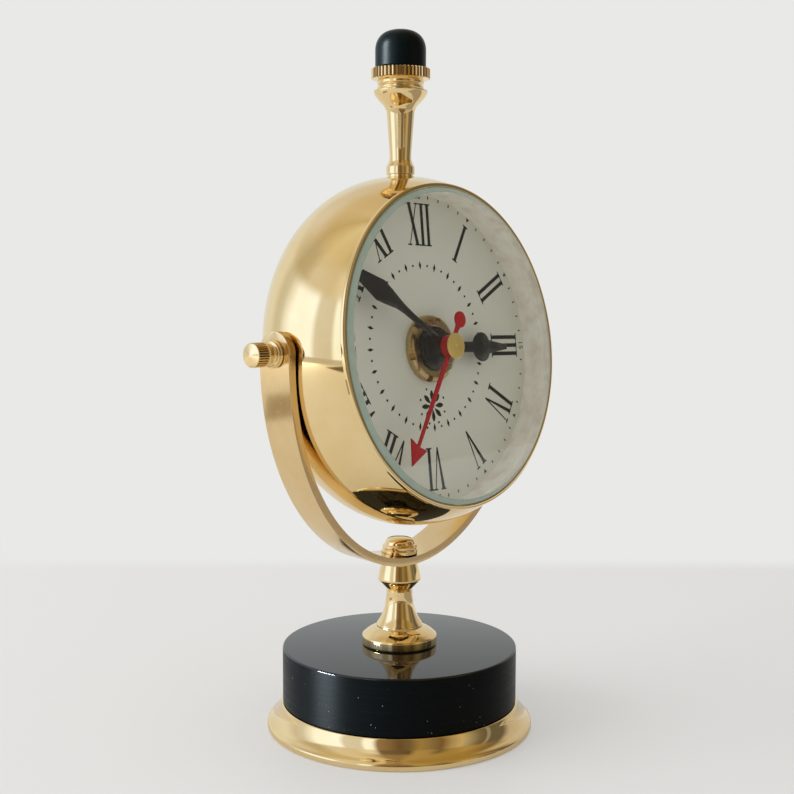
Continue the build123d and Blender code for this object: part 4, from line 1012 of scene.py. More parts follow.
# %% Thumbscrews
TIP_R = 0.4
CONE_R = 2.5
CONE_FROM = 6.72
GRIP_R = 2.72
GRIP_FROM = 3.48
GRIP_TO = 6.58
GRIP_END = 6.6
GRIP_LEAST_R = 2.5
GRIP_ROWS = 9
GRIP_ROW = 0.36
GRIP_ROW_FROM = 3.55
GROOVE_FROM = 3.5
GROOVE_LEAST_R = 2.3
THUMB_L = 7.1
THUMB_TEETH = 30
THUMB_TOOTH = 0.34
STEPS_PER_TOOTH = 8
# Radius, height above the seat and rounding of each corner
THUMB_PROFILE = (
    (0.0, -3.0), (1.5, -3.0), (1.5, 0.0), (3.15, 0.0, 0.15), (3.15, 0.5, 0.15), (2.9, 0.58, 0.06),
    (3.05, 0.7, 0.1), (3.05, 1.2, 0.2), (2.3, 1.4, 0.15), (2.15, 1.9, 0.4), (2.3, 2.6, 0.3),
    (2.6, 2.8, 0.1), (2.7, 2.95, 0.08), (2.7, 3.3, 0.08), (2.5, 3.4, 0.06),
)


def thumbscrew(node, side):
    """A screw laid along X, with its grip on the left (-1) or the right (1)."""
    low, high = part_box(node)
    tip = max(abs(low.x), abs(high.x)) / MM
    seat = tip - THUMB_L
    outline = lifted(THUMB_PROFILE, seat)
    outline += [(GRIP_R, seat + GRIP_ROW_FROM + GRIP_ROW * row) for row in range(GRIP_ROWS)]
    outline += [(GRIP_R, seat + GRIP_END, 0.12), (CONE_R, seat + CONE_FROM, 0.1)]
    outline += [(TIP_R, tip - 0.04, 0.1), (0.0, tip)]
    mesh = turned_mesh(node + "_turned", outline, steps=THUMB_TEETH * STEPS_PER_TOOTH)
    values = {"Teeth": THUMB_TEETH, "Depth": THUMB_TOOTH, "Low": seat + GRIP_FROM, "High": seat + GRIP_TO}
    values.update({"Least radius": GRIP_LEAST_R, "Material": satin_brass})
    mesh = run_tree(mesh, knurl, knurl_names, values)
    # Painted shade: the grip's groove faces turn dark brass
    groove_r = GRIP_R - 0.6 * THUMB_TOOTH
    darken_grooves(mesh, seat + GROOVE_FROM, seat + GRIP_END, GROOVE_LEAST_R, groove_r)
    sideways = Matrix.Rotation(math.radians(90.0 * side), 4, "Y")
    place = Matrix.Translation((0.0, *((low + high) / 2).yz)) @ sideways
    return stand_in(tidy_mesh(set_in_place(mesh, place)), None, node)


for node, side in (("thumbscrew_left", -1), ("thumbscrew_right", 1)):
    thumbscrew(node, side)
print("thumbscrews:", THUMB_TEETH, "teeth each")

# %% [markdown]
# ## Dome screw
# A domed screw holds the yoke on the column. Its slot is cut with a Boolean.


# %% Dome screw
def block(name, middle, size, place=upright):
    """A box in millimetres, for cutting."""
    build = bmesh.new()
    bmesh.ops.create_cube(build, size=1.0)
    mesh = mesh_from(build, name)
    mesh.transform(Matrix.Translation(middle) @ Matrix.Diagonal((*size, 1.0)))
    return set_in_place(mesh, place)


_, screw_top, screw_r = heights("yoke_dome_screw")
DOME_SEAT_DROP = 4.6
DOME_FLAT = 0.4
DOME_FLAT_R = 0.9
SLOT_SIZE = (12.0, 0.8, 1.3)
seat = screw_top - DOME_SEAT_DROP
dome_top = screw_top - DOME_FLAT
screw_profile = [(0.0, -6.0), (2.0, -6.0), (2.0, 0.0), (screw_r, 0.0, 0.15), (screw_r, 0.95, 0.2)]
screw_profile += [(4.15, 1.1, 0.1), (4.35, 1.35, 0.15), (4.35, 2.0, 0.25), (3.75, 2.35, 0.1)]
dome_outline = lifted(screw_profile, seat)
dome_outline += bow((3.75, seat + 2.4), (DOME_FLAT_R, dome_top), (3.5, dome_top - 0.05), 10)
dome_outline += [(DOME_FLAT_R, dome_top), (0.0, dome_top)]
dome = set_in_place(turned_mesh("yoke_dome_screw_turned", dome_outline), upright)
dome.data.materials.append(polished_brass)
carve(dome, block("slot", (0.0, 0.0, dome_top), SLOT_SIZE, Matrix.Rotation(azimuth, 4, "Z")))
stand_in(tidy_mesh(dome), polished_brass, "yoke_dome_screw")
print("dome screw top at", round(dome_top, 2))

# %% [markdown]
# ## The dial's own frame
# Case, glass, dial and hands share one axis, which leans back a little. The minute hand's joint
# gives that axis, and levels along it are measured from the face of the dial.

# %% Dial frame
dial_front = -Vector(joint_named["minute_turn"]["axis"]).normalized()
dial_right = Vector((1.0, 0.0, 0.0))
dial_up = dial_front.cross(dial_right)
dial_centre = Vector(joint_named["minute_turn"]["pos_m"])
dial_turn = Matrix((dial_right, dial_up, dial_front)).transposed().to_4x4()
dial_place = Matrix.Translation(dial_centre) @ dial_turn
to_dial = dial_place.inverted()


def on_dial(point):
    """A point of the frame in the dial's own frame, in mm."""
    return to_dial @ point / MM


def dial_levels(node):
    """Back and front level and largest radius of a node in the dial's frame, in mm."""
    points = [on_dial(vertex.co) for vertex in frame["nodes"][node].data.vertices]
    levels = [point.z for point in points]
    return min(levels), max(levels), max(math.hypot(point.x, point.y) for point in points)


shell_back, shell_front, shell_r = dial_levels("case_shell")
bezel_back, bezel_front, _ = dial_levels("bezel")
glass_back, glass_front, glass_r = dial_levels("glass")
spacer_back, spacer_front, spacer_r = dial_levels("dial_spacer")
dial_back, dial_face, dial_r = dial_levels("dial")
print("shell", round(shell_back, 2), round(shell_front, 2), "bezel", round(bezel_front, 2))

# %% [markdown]
# ## Case, bezel and glass
# The case is spun from sheet: a shallow drum whose side swells to a crest and rolls over to the
# back. The bezel is a thin ring that holds a bevelled glass.

# %% Case shell
CASE_STEPS = 256
MOUTH_R = 39.0
MOUTH_LIP = 0.7
BACK_OPENING_R = 33.5
BACK_ROUND_R = 18.0
CREST_BEHIND_MOUTH = 14.0
WALL = 1.2
mouth = shell_front + MOUTH_LIP
crest = mouth - CREST_BEHIND_MOUTH
fall = shell_r - MOUTH_R
front_round = (CREST_BEHIND_MOUTH ** 2 + fall ** 2) / (2 * fall)
mouth_deg = math.degrees(math.asin(CREST_BEHIND_MOUTH / front_round))
back_deg = math.degrees(math.acos((BACK_OPENING_R - shell_r + BACK_ROUND_R) / BACK_ROUND_R))
front_centre = (shell_r - front_round, crest)
back_centre = (shell_r - BACK_ROUND_R, crest)
shell_outline = arc(front_centre, front_round, mouth_deg, 0.0, 24)
shell_outline += arc(back_centre, BACK_ROUND_R, 0.0, -back_deg, 30)[1:]
shell_outline += arc(back_centre, BACK_ROUND_R - WALL, -back_deg, 0.0, 30)
shell_outline += arc(front_centre, front_round - WALL, 0.0, mouth_deg, 24)[1:]
turn_piece("case_shell", shell_outline, dial_place, polished_brass, closed=True, steps=CASE_STEPS)
print("case crest radius", round(shell_r, 2))

# %% Bezel and glass
SKIRT_R = 37.75
LIP_R = 37.3
FRONT_DROP = 0.9
GLASS_GAP = 0.06
BEVEL_W = 1.2
BEVEL_D = 0.8
FLAT_FACING = 0.97
rim_r = MOUTH_R + 0.05
rim_front = bezel_front - FRONT_DROP
pocket_r = glass_r + GLASS_GAP
bezel_outline = [
    (rim_r, mouth, 0.08),
    (rim_r, rim_front, 0.55),
    (pocket_r, rim_front, 0.2),
    (pocket_r, glass_back),
    (LIP_R, glass_back, 0.1),
    (LIP_R, bezel_back),
    (SKIRT_R, bezel_back),
    (SKIRT_R, mouth),
]
bezel = turn_piece("bezel", bezel_outline, dial_place, polished_brass, closed=True, steps=CASE_STEPS)
part_finish(bezel, cream_wall, lambda face: on_dial(face.center).xy.length < LIP_R + 0.1)

glass_face = glass_front - FRONT_DROP
glass_outline = [
    (0.0, glass_back),
    (glass_r, glass_back, 0.1),
    (glass_r, glass_face - BEVEL_D, 0.15),
    (glass_r - BEVEL_W, glass_face, 0.25),
    (0.0, glass_face),
]
glass = turn_piece("glass", glass_outline, dial_place, clear_glass, steps=CASE_STEPS)
part_finish(glass, glass_edge, lambda face: abs(face.normal.dot(dial_front)) < FLAT_FACING)
print("glass from", round(glass_back, 2), "to", round(glass_face, 2))

# %% [markdown]
# ## Dial, inner wall and nut
# The dial is a painted plate with a cream wall standing round it. A notched nut clamps the
# movement behind it.

# %% Dial and wall
SPACER_WALL = 0.5
DIAL_HOLE_R = 4.1
wall_inner_r = spacer_r - SPACER_WALL
wall_outline = [(spacer_r, spacer_back), (spacer_r, spacer_front)]
wall_outline += [(wall_inner_r, spacer_front, 0.1), (wall_inner_r, spacer_back)]
turn_piece("dial_spacer", wall_outline, dial_place, cream_wall, closed=True, steps=CASE_STEPS)
plate_outline = [(DIAL_HOLE_R, dial_back), (dial_r, dial_back)]
plate_outline += [(dial_r, dial_face), (DIAL_HOLE_R, dial_face)]
turn_piece("dial", plate_outline, dial_place, dial_white, closed=True)
print("dial radius", round(dial_r, 2))

# %% [markdown]
# ## Rings of marks
# Minute marks, the nut's notches and the dial's ornament all repeat round a circle. One tree puts
# its own mesh on every point of a circle, turned to face outwards, and can leave out every
# so-many-th place.


# %% Ring tree
def ring_tree():
    inputs = [("Count", "NodeSocketInt"), ("Radius", "NodeSocketFloat"), ("Turn", "NodeSocketFloat")]
    inputs += [("Leave out every", "NodeSocketInt"), ("Material", "NodeSocketMaterial")]
    tree, start, names = new_tree("ring_of_marks", inputs)
    sockets = {"Vertices": start.out("Count"), "Radius": start.out("Radius")}
    circle = start.add("GeometryNodeMeshCircle", {"fill_type": "NONE"}, sockets)
    index = start.add("GeometryNodeInputIndex")
    every = start.out("Leave out every")
    kept = (index.maths("FLOORED_MODULO", index, every) > 0.5) + (every < 0.5)
    spot = start.add("GeometryNodeInputPosition")
    x = start.add("ShaderNodeSeparateXYZ", {}, {0: spot}, "X")
    heading = start.maths("ARCTAN2", x.out("Y"), x) - math.pi / 2
    facing = start.add("ShaderNodeCombineXYZ", {}, {"Z": heading})
    sockets = {"Points": circle, "Selection": kept, "Instance": start, "Rotation": facing}
    marks = start.add("GeometryNodeInstanceOnPoints", {}, sockets)
    turn_by = start.add("ShaderNodeCombineXYZ", {}, {"Z": start.out("Turn")})
    turned = start.add("GeometryNodeTransform", {}, {"Geometry": marks, "Rotation": turn_by})
    end_tree(turned, start.out("Material"))
    return tree, names


ring, ring_names = ring_tree()


def ring_of(mesh, count, radius, material, turn_deg=0.0, leave_out=0):
    """The mesh set round a circle, from three o'clock on. leave_out keeps every so-many-th place bare."""
    values = {"Count": count, "Radius": radius, "Turn": math.radians(turn_deg), "Material": material}
    values["Leave out every"] = leave_out
    return run_tree(mesh, ring, ring_names, values)


def oblong(width, length):
    """The corners of a rectangle round the origin."""
    x, y = width / 2, length / 2
    return [(-x, -y), (x, -y), (x, y), (-x, y)]


def slab(name, outline, low, high, bevel=0.0):
    """A flat shape with a closed outline, between two levels, in millimetres."""
    build = bmesh.new()
    face = build.faces.new([build.verts.new((x, y, low)) for x, y in outline])
    face.normal_update()
    if face.normal.z > 0:
        face.normal_flip()
    grown = bmesh.ops.extrude_face_region(build, geom=[face], use_keep_orig=True)
    raised = [item for item in grown["geom"] if isinstance(item, bmesh.types.BMVert)]
    bmesh.ops.translate(build, verts=raised, vec=(0.0, 0.0, high - low))
    bmesh.ops.recalc_face_normals(build, faces=build.faces)
    if bevel > 0:
        rim = [edge for edge in build.edges if all(vert.co.z > (low + high) / 2 for vert in edge.verts)]
        rounding = {"offset": bevel, "segments": 2, "profile": 0.5, "clamp_overlap": True}
        bmesh.ops.bevel(build, geom=rim, affect="EDGES", **rounding)
    mark_sharp(build, FINE_SHARP_DEG)
    return mesh_from(build, name)


print("ring inputs:", sorted(ring_names))

# %% Nut
nut_back, nut_front, nut_r = dial_levels("dial_nut")
NUT_BORE_R = 4.0
NUT_NOTCHES = 6
NOTCH_W = 1.6
NOTCH_L = 2.4
NOTCH_DEPTH = 1.1
NOTCH_ABOVE = 1.0
NOTCH_TURN_DEG = 12.0
nut_outline = [(NUT_BORE_R, nut_back), (nut_r, nut_back, 0.2), (nut_r, nut_front - 0.3, 0.5)]
nut_outline += [(nut_r - 0.9, nut_front, 0.3), (5.3, nut_front, 0.4), (NUT_BORE_R, nut_front - 0.9)]
nut = set_in_place(turned_mesh("dial_nut_turned", nut_outline, closed=True), dial_place)
nut.data.materials.append(aged_brass)
notch = slab("notches", oblong(NOTCH_W, NOTCH_L), nut_front - NOTCH_DEPTH, nut_front + NOTCH_ABOVE)
notch_ring = ring_of(notch, NUT_NOTCHES, nut_r, aged_brass, NOTCH_TURN_DEG)
carve(nut, set_in_place(notch_ring, dial_place))
stand_in(tidy_mesh(nut), aged_brass, "dial_nut")
print("nut radius", round(nut_r, 2), "with", NUT_NOTCHES, "notches")

# %% [markdown]
# ## Numerals and minute track
# The printed marks are thin raised ink, so they keep their edges in the exported model. Each Roman
# letter is a few straight strokes with fine serifs, set with its top outwards. Short ticks count
# the minutes, triangles the fives, and small figures the quarters.

# %% Roman numerals
INK_T = 0.03
PRINT_LIFT = 0.01
PRINT_SHIFT = (-0.4, 0.6)
NUMERAL_LOW_R = 24.1
NUMERAL_HIGH_R = 34.3
LETTER_W = 5.6
DIAL_TURN_DEG = 1.7
SERIF = 0.035
LETTER_HEAD = 1.0 - SERIF
LETTER_FOOT = 0.0


def stem(head_left, head_right, foot_right, foot_left):
    """A stroke from head to foot of a letter of unit height."""
    return [(head_left, 1.0), (head_right, 1.0), (foot_right, 0.0), (foot_left, 0.0)]


def serif(left, right, level):
    """A fine flat stroke at the head or foot of a letter."""
    return [(left, level), (right, level), (right, level + SERIF), (left, level + SERIF)]


# Each letter's width and strokes
LETTERS = {
    "I": (0.34, [
        stem(0.085, 0.255, 0.255, 0.085),
        serif(0.0, 0.34, LETTER_FOOT),
        serif(0.0, 0.34, LETTER_HEAD),
    ]),
    "V": (0.74, [
        stem(0.06, 0.24, 0.44, 0.37),
        stem(0.63, 0.68, 0.44, 0.37),
        serif(0.0, 0.31, LETTER_HEAD),
        serif(0.52, 0.76, LETTER_HEAD),
    ]),
    "X": (0.74, [
        stem(0.07, 0.25, 0.69, 0.51),
        stem(0.60, 0.65, 0.14, 0.09),
        serif(0.0, 0.30, LETTER_HEAD),
        serif(0.50, 0.74, LETTER_HEAD),
        serif(0.0, 0.24, LETTER_FOOT),
        serif(0.44, 0.76, LETTER_FOOT),
    ]),
}
LETTER_GAP = 0.03
NUMERALS = ("I", "II", "III", "IV", "V", "VI", "VII", "VIII", "IX", "X", "XI", "XII")


def joined(name, meshes):
    """Several meshes in millimetres as one."""
    build = bmesh.new()
    for mesh in meshes:
        build.from_mesh(mesh)
        bpy.data.meshes.remove(mesh)
    return mesh_from(build, name)


def turn_to_hour(hour):
    """The turn that takes a mark at twelve o'clock to an hour of the print."""
    return Matrix.Rotation(math.radians(-30.0 * hour - DIAL_TURN_DEG), 4, "Z")


def numeral_mesh(text, hour):
    """One numeral, set at its hour with its top outwards."""
    width = sum(LETTERS[letter][0] for letter in text) + LETTER_GAP * (len(text) - 1)
    height = NUMERAL_HIGH_R - NUMERAL_LOW_R
    left = -width / 2
    strokes = []
    for letter in text:
        for stroke in LETTERS[letter][1]:
            outline = [((left + x) * LETTER_W, NUMERAL_LOW_R + y * height) for x, y in stroke]
            strokes.append(slab("stroke", outline, 0.0, INK_T))
        left += LETTERS[letter][0] + LETTER_GAP
    mesh = joined(text, strokes)
    mesh.transform(turn_to_hour(hour))
    return mesh


def print_on_dial(mesh):
    """A printed piece rides with the case, just clear of the paint and a little off the middle."""
    mesh.transform(Matrix.Translation((*PRINT_SHIFT, PRINT_LIFT)))
    piece = set_in_place(mesh, dial_place)
    piece.data.materials.clear()
    piece.data.materials.append(dial_ink)
    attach(piece, body_of_node["dial"])
    return piece


numerals = joined("numerals", [numeral_mesh(text, hour + 1) for hour, text in enumerate(NUMERALS)])
print_on_dial(numerals)
print("numerals:", len(NUMERALS))

# %% Minute track
TRACK_R = 36.0
TICK_W = 0.34
TICK_L = 0.75
FIGURE_SIZE = 2.3
FIGURES = {"15": 3, "30": 6, "45": 9, "60": 12}
TRIANGLE = [(-0.55, 0.5), (0.55, 0.5), (0.0, -0.55)]


def printed_ring(name, outline, count, radius, turn_deg=0.0, leave_out=0):
    """A flat printed mark, set round the dial's middle."""
    return ring_of(slab(name, outline, 0.0, INK_T), count, radius, dial_ink, turn_deg, leave_out)


ticks = printed_ring("minute_ticks", oblong(TICK_W, TICK_L), 60, TRACK_R, -DIAL_TURN_DEG, 5)
fives = printed_ring("five_marks", TRIANGLE, 12, TRACK_R, -DIAL_TURN_DEG, 3)


def figure_mesh(text, hour):
    """A small figure on the track, with its top outwards."""
    curve = bpy.data.curves.new(text, "FONT")
    curve.body = text
    curve.size = FIGURE_SIZE
    curve.align_x = "CENTER"
    curve.align_y = "CENTER"
    curve.extrude = INK_T / 2
    holder = bpy.data.objects.new(text, curve)
    bpy.context.scene.collection.objects.link(holder)
    bpy.context.view_layer.update()
    mesh = bpy.data.meshes.new_from_object(holder.evaluated_get(bpy.context.evaluated_depsgraph_get()))
    bpy.data.objects.remove(holder)
    bpy.data.curves.remove(curve)
    mesh.transform(turn_to_hour(hour) @ Matrix.Translation((0.0, TRACK_R, INK_T / 2)))
    return mesh


figures = [figure_mesh(text, hour) for text, hour in FIGURES.items()]
print_on_dial(joined("minute_track", [ticks, fives, *figures]))
print("minute track: 48 ticks, 8 triangles,", len(FIGURES), "figures")

# %% [markdown]
# ## Ornament
# A plain ring of lozenges and dots runs inside the numerals, with a small eight-petalled rosette
# below the middle. Both are common geometric ornament, made with the same ring tree.

# %% Ornament
ORNAMENT_R = 19.4
LOZENGES = 24
LOZENGE = [(-0.42, 0.0), (0.0, -1.05), (0.42, 0.0), (0.0, 1.05)]
DOT_R = 0.3
ROSETTE_AT = -14.2
PETALS = 8
PETALS_R = 2.3
PETAL_DOTS_R = 4.4
HEART_R = 0.6
PETAL = [(0.0, -1.5), (0.55, -0.2), (0.6, 0.5), (0.32, 1.2)]
PETAL += [(0.0, 1.5), (-0.32, 1.2), (-0.6, 0.5), (-0.55, -0.2)]


def spot(radius):
    """A small round mark with twelve corners."""
    return arc((0.0, 0.0), radius, 0.0, 330.0, 11)


lozenges = printed_ring("lozenges", LOZENGE, LOZENGES, ORNAMENT_R)
dots = printed_ring("dots", spot(DOT_R), LOZENGES, ORNAMENT_R, 180.0 / LOZENGES)
petals = printed_ring("petals", PETAL, PETALS, PETALS_R)
petal_dots = printed_ring("petal_dots", spot(DOT_R), PETALS, PETAL_DOTS_R, 180.0 / PETALS)
heart = slab("heart", spot(HEART_R), 0.0, INK_T)
rosette = joined("rosette", [petals, petal_dots, heart])
rosette.transform(Matrix.Translation((0.0, ROSETTE_AT, 0.0)))
print_on_dial(joined("ornament", [lozenges, dots, rosette]))
print("ornament:", LOZENGES, "lozenges and", PETALS, "petals")

# %% [markdown]
# ## Hands
# The hour hand is a spade, the minute hand a long lozenge, and the second hand an arrow with a
# round weight. They are cut from thin sheet, so each is a flat slab with a soft edge on a turned hub.

# %% Hand helper
BLADE_T = 0.35
BLADE_EDGE = 0.08


def hand(node, outlines, fold_at, fold_deg, hub_outline, turn_deg, material, blade_top):
    """A blade drawn at twelve and its hub, turned to the time. What lies past the fold droops."""
    sheet = (blade_top - BLADE_T, blade_top, BLADE_EDGE)
    pieces = [slab(node + "_blade", outline, *sheet) for outline in outlines]
    droop = Matrix.Identity(4)
    droop[2][1] = -math.tan(math.radians(fold_deg))
    droop[2][3] = -fold_at * droop[2][1]
    for piece in pieces[1:]:
        piece.transform(droop)
    pieces.append(turned_mesh(node + "_hub", hub_outline, closed=True, steps=SMALL_STEPS))
    mesh = joined(node + "_shaped", pieces)
    mesh.transform(Matrix.Rotation(math.radians(-turn_deg), 4, "Z"))
    return stand_in(set_in_place(mesh, dial_place), material, node)


def mirrored(right_side):
    """A closed outline from its right half, which runs from the root up to the tip."""
    left_side = [(-x, y) for x, y in reversed(right_side) if x > 0.0001]
    return list(right_side) + left_side


print("hand sheet", BLADE_T, "mm thick")

# %% Hour hand
HOUR_DEG = 91.6
HOUR_FOLD_DEG = 7.0
HOUR_BORE_R = 2.52
HUB_GAP = 0.15
BULB_R = 3.6
BULB_AT = 15.6
BULB_STEPS = 16
hour_hub, hour_top, hour_tip = dial_levels("hour_hand")

root = [(1.3, 2.0), (1.3, 12.2)] + arc((0.0, BULB_AT), BULB_R, -66.0, 0.0, BULB_STEPS)
round_end = arc((0.0, BULB_AT), BULB_R, 0.0, 62.0, BULB_STEPS)
spade = round_end + bow(round_end[-1], (0.6, hour_tip), (1.2, 21.6), 10) + [(0.6, hour_tip)]
hour_ring = [(HOUR_BORE_R, nut_front + HUB_GAP), (5.2, nut_front + HUB_GAP, 0.1)]
hour_ring += lifted([(5.2, 0.3, 0.25), (4.4, 0.35, 0.1), (4.4, 0.9, 0.2), (3.6, 0.95, 0.1)], hour_hub)
hour_ring += [(3.6, hour_top, 0.25), (HOUR_BORE_R, hour_top)]
hour_blades = [mirrored(root), mirrored(spade)]
hand("hour_hand", hour_blades, BULB_AT, HOUR_FOLD_DEG, hour_ring, HOUR_DEG, black_hand, hour_top)
print("hour hand at", HOUR_DEG)

# %% Minute and second hand
MINUTE_DEG = 304.0
SECOND_DEG = 213.6
BLADE_AT = 18.8
WIDEST_AT = 24.7
MINUTE_TIP = 33.9
MINUTE_FOLD_DEG = 6.0
MINUTE_BORE_R = 1.72
SECOND_BORE_R = 0.62
SECOND_HUB_R = 2.8
WEIGHT_R = 2.0
WEIGHT_AT = -7.6
minute_hub, minute_top, _ = dial_levels("minute_hand")
_, second_top, second_tip = dial_levels("second_hand")

leaf = [(0.95, 1.6), (0.8, 12.0)] + bow((0.8, 12.0), (1.25, BLADE_AT), (0.8, 16.0), 8) + [(1.25, BLADE_AT)]
leaf_end = [(1.25, BLADE_AT), (2.05, 21.7), (2.7, WIDEST_AT), (0.85, MINUTE_TIP)]
minute_profile = [(MINUTE_BORE_R, 0.0), (3.9, 0.0, 0.1), (3.9, 0.35, 0.15), (3.3, 0.4, 0.1)]
minute_profile += [(3.3, 0.75, 0.15), (3.0, 0.8, 0.05)]
minute_ring = lifted(minute_profile, minute_hub) + [(3.0, minute_top, 0.2), (MINUTE_BORE_R, minute_top)]
leaves = [mirrored(leaf), mirrored(leaf_end)]
hand("minute_hand", leaves, BLADE_AT, MINUTE_FOLD_DEG, minute_ring, MINUTE_DEG, black_hand, minute_top)

weight = arc((0.0, WEIGHT_AT), WEIGHT_R, -90.0, 66.0, 26)
arrow = [(0.0, WEIGHT_AT - WEIGHT_R)] + weight[1:]
arrow += [(0.6, -4.5), (0.75, 0.0), (0.45, 27.0), (3.1, 26.6), (0.0, second_tip)]
second_ring = [(SECOND_BORE_R, minute_top + HUB_GAP), (SECOND_HUB_R, minute_top + HUB_GAP, 0.15)]
second_ring += [(SECOND_HUB_R, second_top, 0.1), (SECOND_BORE_R, second_top)]
hand("second_hand", [mirrored(arrow)], 0.0, 0.0, second_ring, SECOND_DEG, red_hand, second_top)
print("minute and second hand at", MINUTE_DEG, SECOND_DEG)

# %% Cap
cap_back, cap_front, cap_r = dial_levels("second_cap")
COLLAR_STEP = 0.25
CAP_PLATE_T = 0.45
DIMPLE_R = 0.4
DIMPLE_DEPTH = 0.15
collar_r = cap_r - COLLAR_STEP
plate_back = cap_front - CAP_PLATE_T
cap_outline = [
    (0.0, cap_back),
    (collar_r, cap_back, 0.1),
    (collar_r, plate_back),
    (cap_r, plate_back, 0.08),
    (cap_r, cap_front - 0.12, 0.12),
    (cap_r - 0.3, cap_front, 0.15),
    (DIMPLE_R, cap_front, 0.1),
    (0.0, cap_front - DIMPLE_DEPTH),
]
cap = turn_piece("second_cap", cap_outline, dial_place, cap_brass)
part_finish(cap, red_hand, lambda face: on_dial(face.center).z < plate_back - 0.01)
print("cap radius", round(cap_r, 2))

# %% [markdown]
# ## Neck and crown
# A tapered neck stands on top of the case, as on a pocket watch. A cup at its head carries the
# crown: a grooved skirt, a knurled ring, and a black knob.

# %% Neck
_, neck_top, neck_r = heights("neck")
NECK_H = 20.75
SPIGOT_R = 3.2
NECK_FOOT_R = 3.5
SHAFT_LOW_R = 2.64
SHAFT_HIGH_R = 3.45
CUP_R = 4.75
neck_seat = neck_top - NECK_H


def up_neck(share):
    return neck_seat + share * NECK_H


cup_foot = (CUP_R, up_neck(0.856))
neck_outline = [
    (0.0, neck_seat - 2.0),
    (SPIGOT_R, neck_seat - 2.0),
    (SPIGOT_R, neck_seat + 0.5),
    (NECK_FOOT_R, neck_seat + 0.6, 0.12),
    (NECK_FOOT_R, up_neck(0.115), 0.3),
    *bow((3.4, up_neck(0.125)), (SHAFT_LOW_R, up_neck(0.235)), (2.68, up_neck(0.17)), 8),
    *bow((SHAFT_LOW_R, up_neck(0.235)), (SHAFT_HIGH_R, up_neck(0.77)), (3.0, up_neck(0.50)), 10),
    (SHAFT_HIGH_R, up_neck(0.77), 0.06),
    (3.6, up_neck(0.774), 0.08),
    *bow((3.62, up_neck(0.78)), cup_foot, (3.95, up_neck(0.825)), 6),
    cup_foot,
    *bow(cup_foot, (neck_r - 0.2, up_neck(0.955)), (5.85, up_neck(0.91)), 8),
    (neck_r - 0.15, up_neck(0.965)),
    (neck_r, up_neck(0.985), 0.1),
    (neck_r, neck_top, 0.2),
    (0.0, neck_top),
]
turn_piece("neck", neck_outline, upright, polished_brass)
print("neck", NECK_H, "mm tall")

# %% Crown ring and knob
CROWN_TEETH = 45
CROWN_TOOTH = 0.52
CROWN_ROW = 0.275
CROWN_BORE_R = 1.6
TEETH_INNER_R = 6.4
CROWN_SKIRT_R = 5.7
SKIRT_H = 2.6
crown_low, crown_ring_top, crown_r = heights("crown_ring")
ring_low = crown_low + SKIRT_H
skirt_profile = [(CROWN_BORE_R, 0.0), (CROWN_SKIRT_R - 0.1, 0.0, 0.15), (CROWN_SKIRT_R, 0.75, 0.4)]
skirt_profile += [(CROWN_SKIRT_R - 0.35, 1.15, 0.15), (CROWN_SKIRT_R, 1.4, 0.15), (CROWN_SKIRT_R, 2.1, 0.3)]
crown_outline = lifted(skirt_profile, crown_low)
crown_outline += [(CROWN_SKIRT_R - 0.2, ring_low, 0.1), (crown_r - 0.25, ring_low, 0.1)]
crown_outline += [(crown_r, ring_low + 0.15 + CROWN_ROW * row) for row in range(GRIP_ROWS)]
crown_outline += [(crown_r - 0.2, crown_ring_top, 0.1), (CROWN_BORE_R, crown_ring_top)]
crown_mesh = turned_mesh("crown_ring_turned", crown_outline, closed=True, steps=CROWN_TEETH * STEPS_PER_TOOTH)
values = {"Teeth": CROWN_TEETH, "Depth": CROWN_TOOTH, "Low": ring_low + 0.05, "High": crown_ring_top + 1.0}
values.update({"Least radius": TEETH_INNER_R, "Material": polished_brass})
crown_mesh = run_tree(crown_mesh, knurl, knurl_names, values)
# Painted shade: the crown's groove faces turn dark brass
groove_r = crown_r - 0.5 * CROWN_TOOTH
darken_grooves(crown_mesh, ring_low + 0.1, crown_ring_top - 0.05, TEETH_INNER_R, groove_r)
stand_in(tidy_mesh(set_in_place(crown_mesh, upright), FINE_SHARP_DEG), None, "crown_ring")

knob_low, knob_top, knob_r = heights("crown_knob")
KNOB_SIDE_H = 4.4
shoulder = (4.7, knob_top - 1.3)
side_top = (knob_r, knob_low + KNOB_SIDE_H)
knob_outline = [(0.0, knob_low), (knob_r - 0.3, knob_low, 0.15), (knob_r, knob_low + 0.3, 0.2), side_top]
knob_outline += bow(side_top, shoulder, (knob_r - 0.02, knob_top - 2.7), 10)
knob_outline += bow(shoulder, (0.0, knob_top), (3.1, knob_top), 10) + [(0.0, knob_top)]
knob = turn_piece("crown_knob", knob_outline, upright, black_knob)
print("crown:", CROWN_TEETH, "teeth, knob to", round(knob_top, 2))

# %% [markdown]
# ## Sheen on the black pieces
# Beside bright brass, black lacquer needs a brighter window than the brass can bear without
# turning white. Light linking gives the black disc and the knob each a soft lamp of its own.

# %% Lamps for black
BLACK_LAMP_COLOUR = (0.84, 0.98, 1.08)
# Each lamp: the piece, degrees to the right of the camera and up, size in metres, light
BLACK_LAMPS = {
    "knob_lamp": (knob, -72.0, 14.0, (0.45, 1.0), 44.0),
    "disc_lamp": (disc, -72.0, 4.0, (0.45, 0.2), 165.0),
}

for name, (piece, *place_and_light) in BLACK_LAMPS.items():
    lit = bpy.data.collections.new(name)
    lit.objects.link(piece)
    lamp = soft_lamp(name, *place_and_light)
    lamp.data.color = BLACK_LAMP_COLOUR
    lamp.light_linking.receiver_collection = lit
print("lamps for black:", list(BLACK_LAMPS))

# %% [markdown]
# ## Back cover
# A spun plate with a raised ring closes the back. A notch at its edge takes a fingernail.

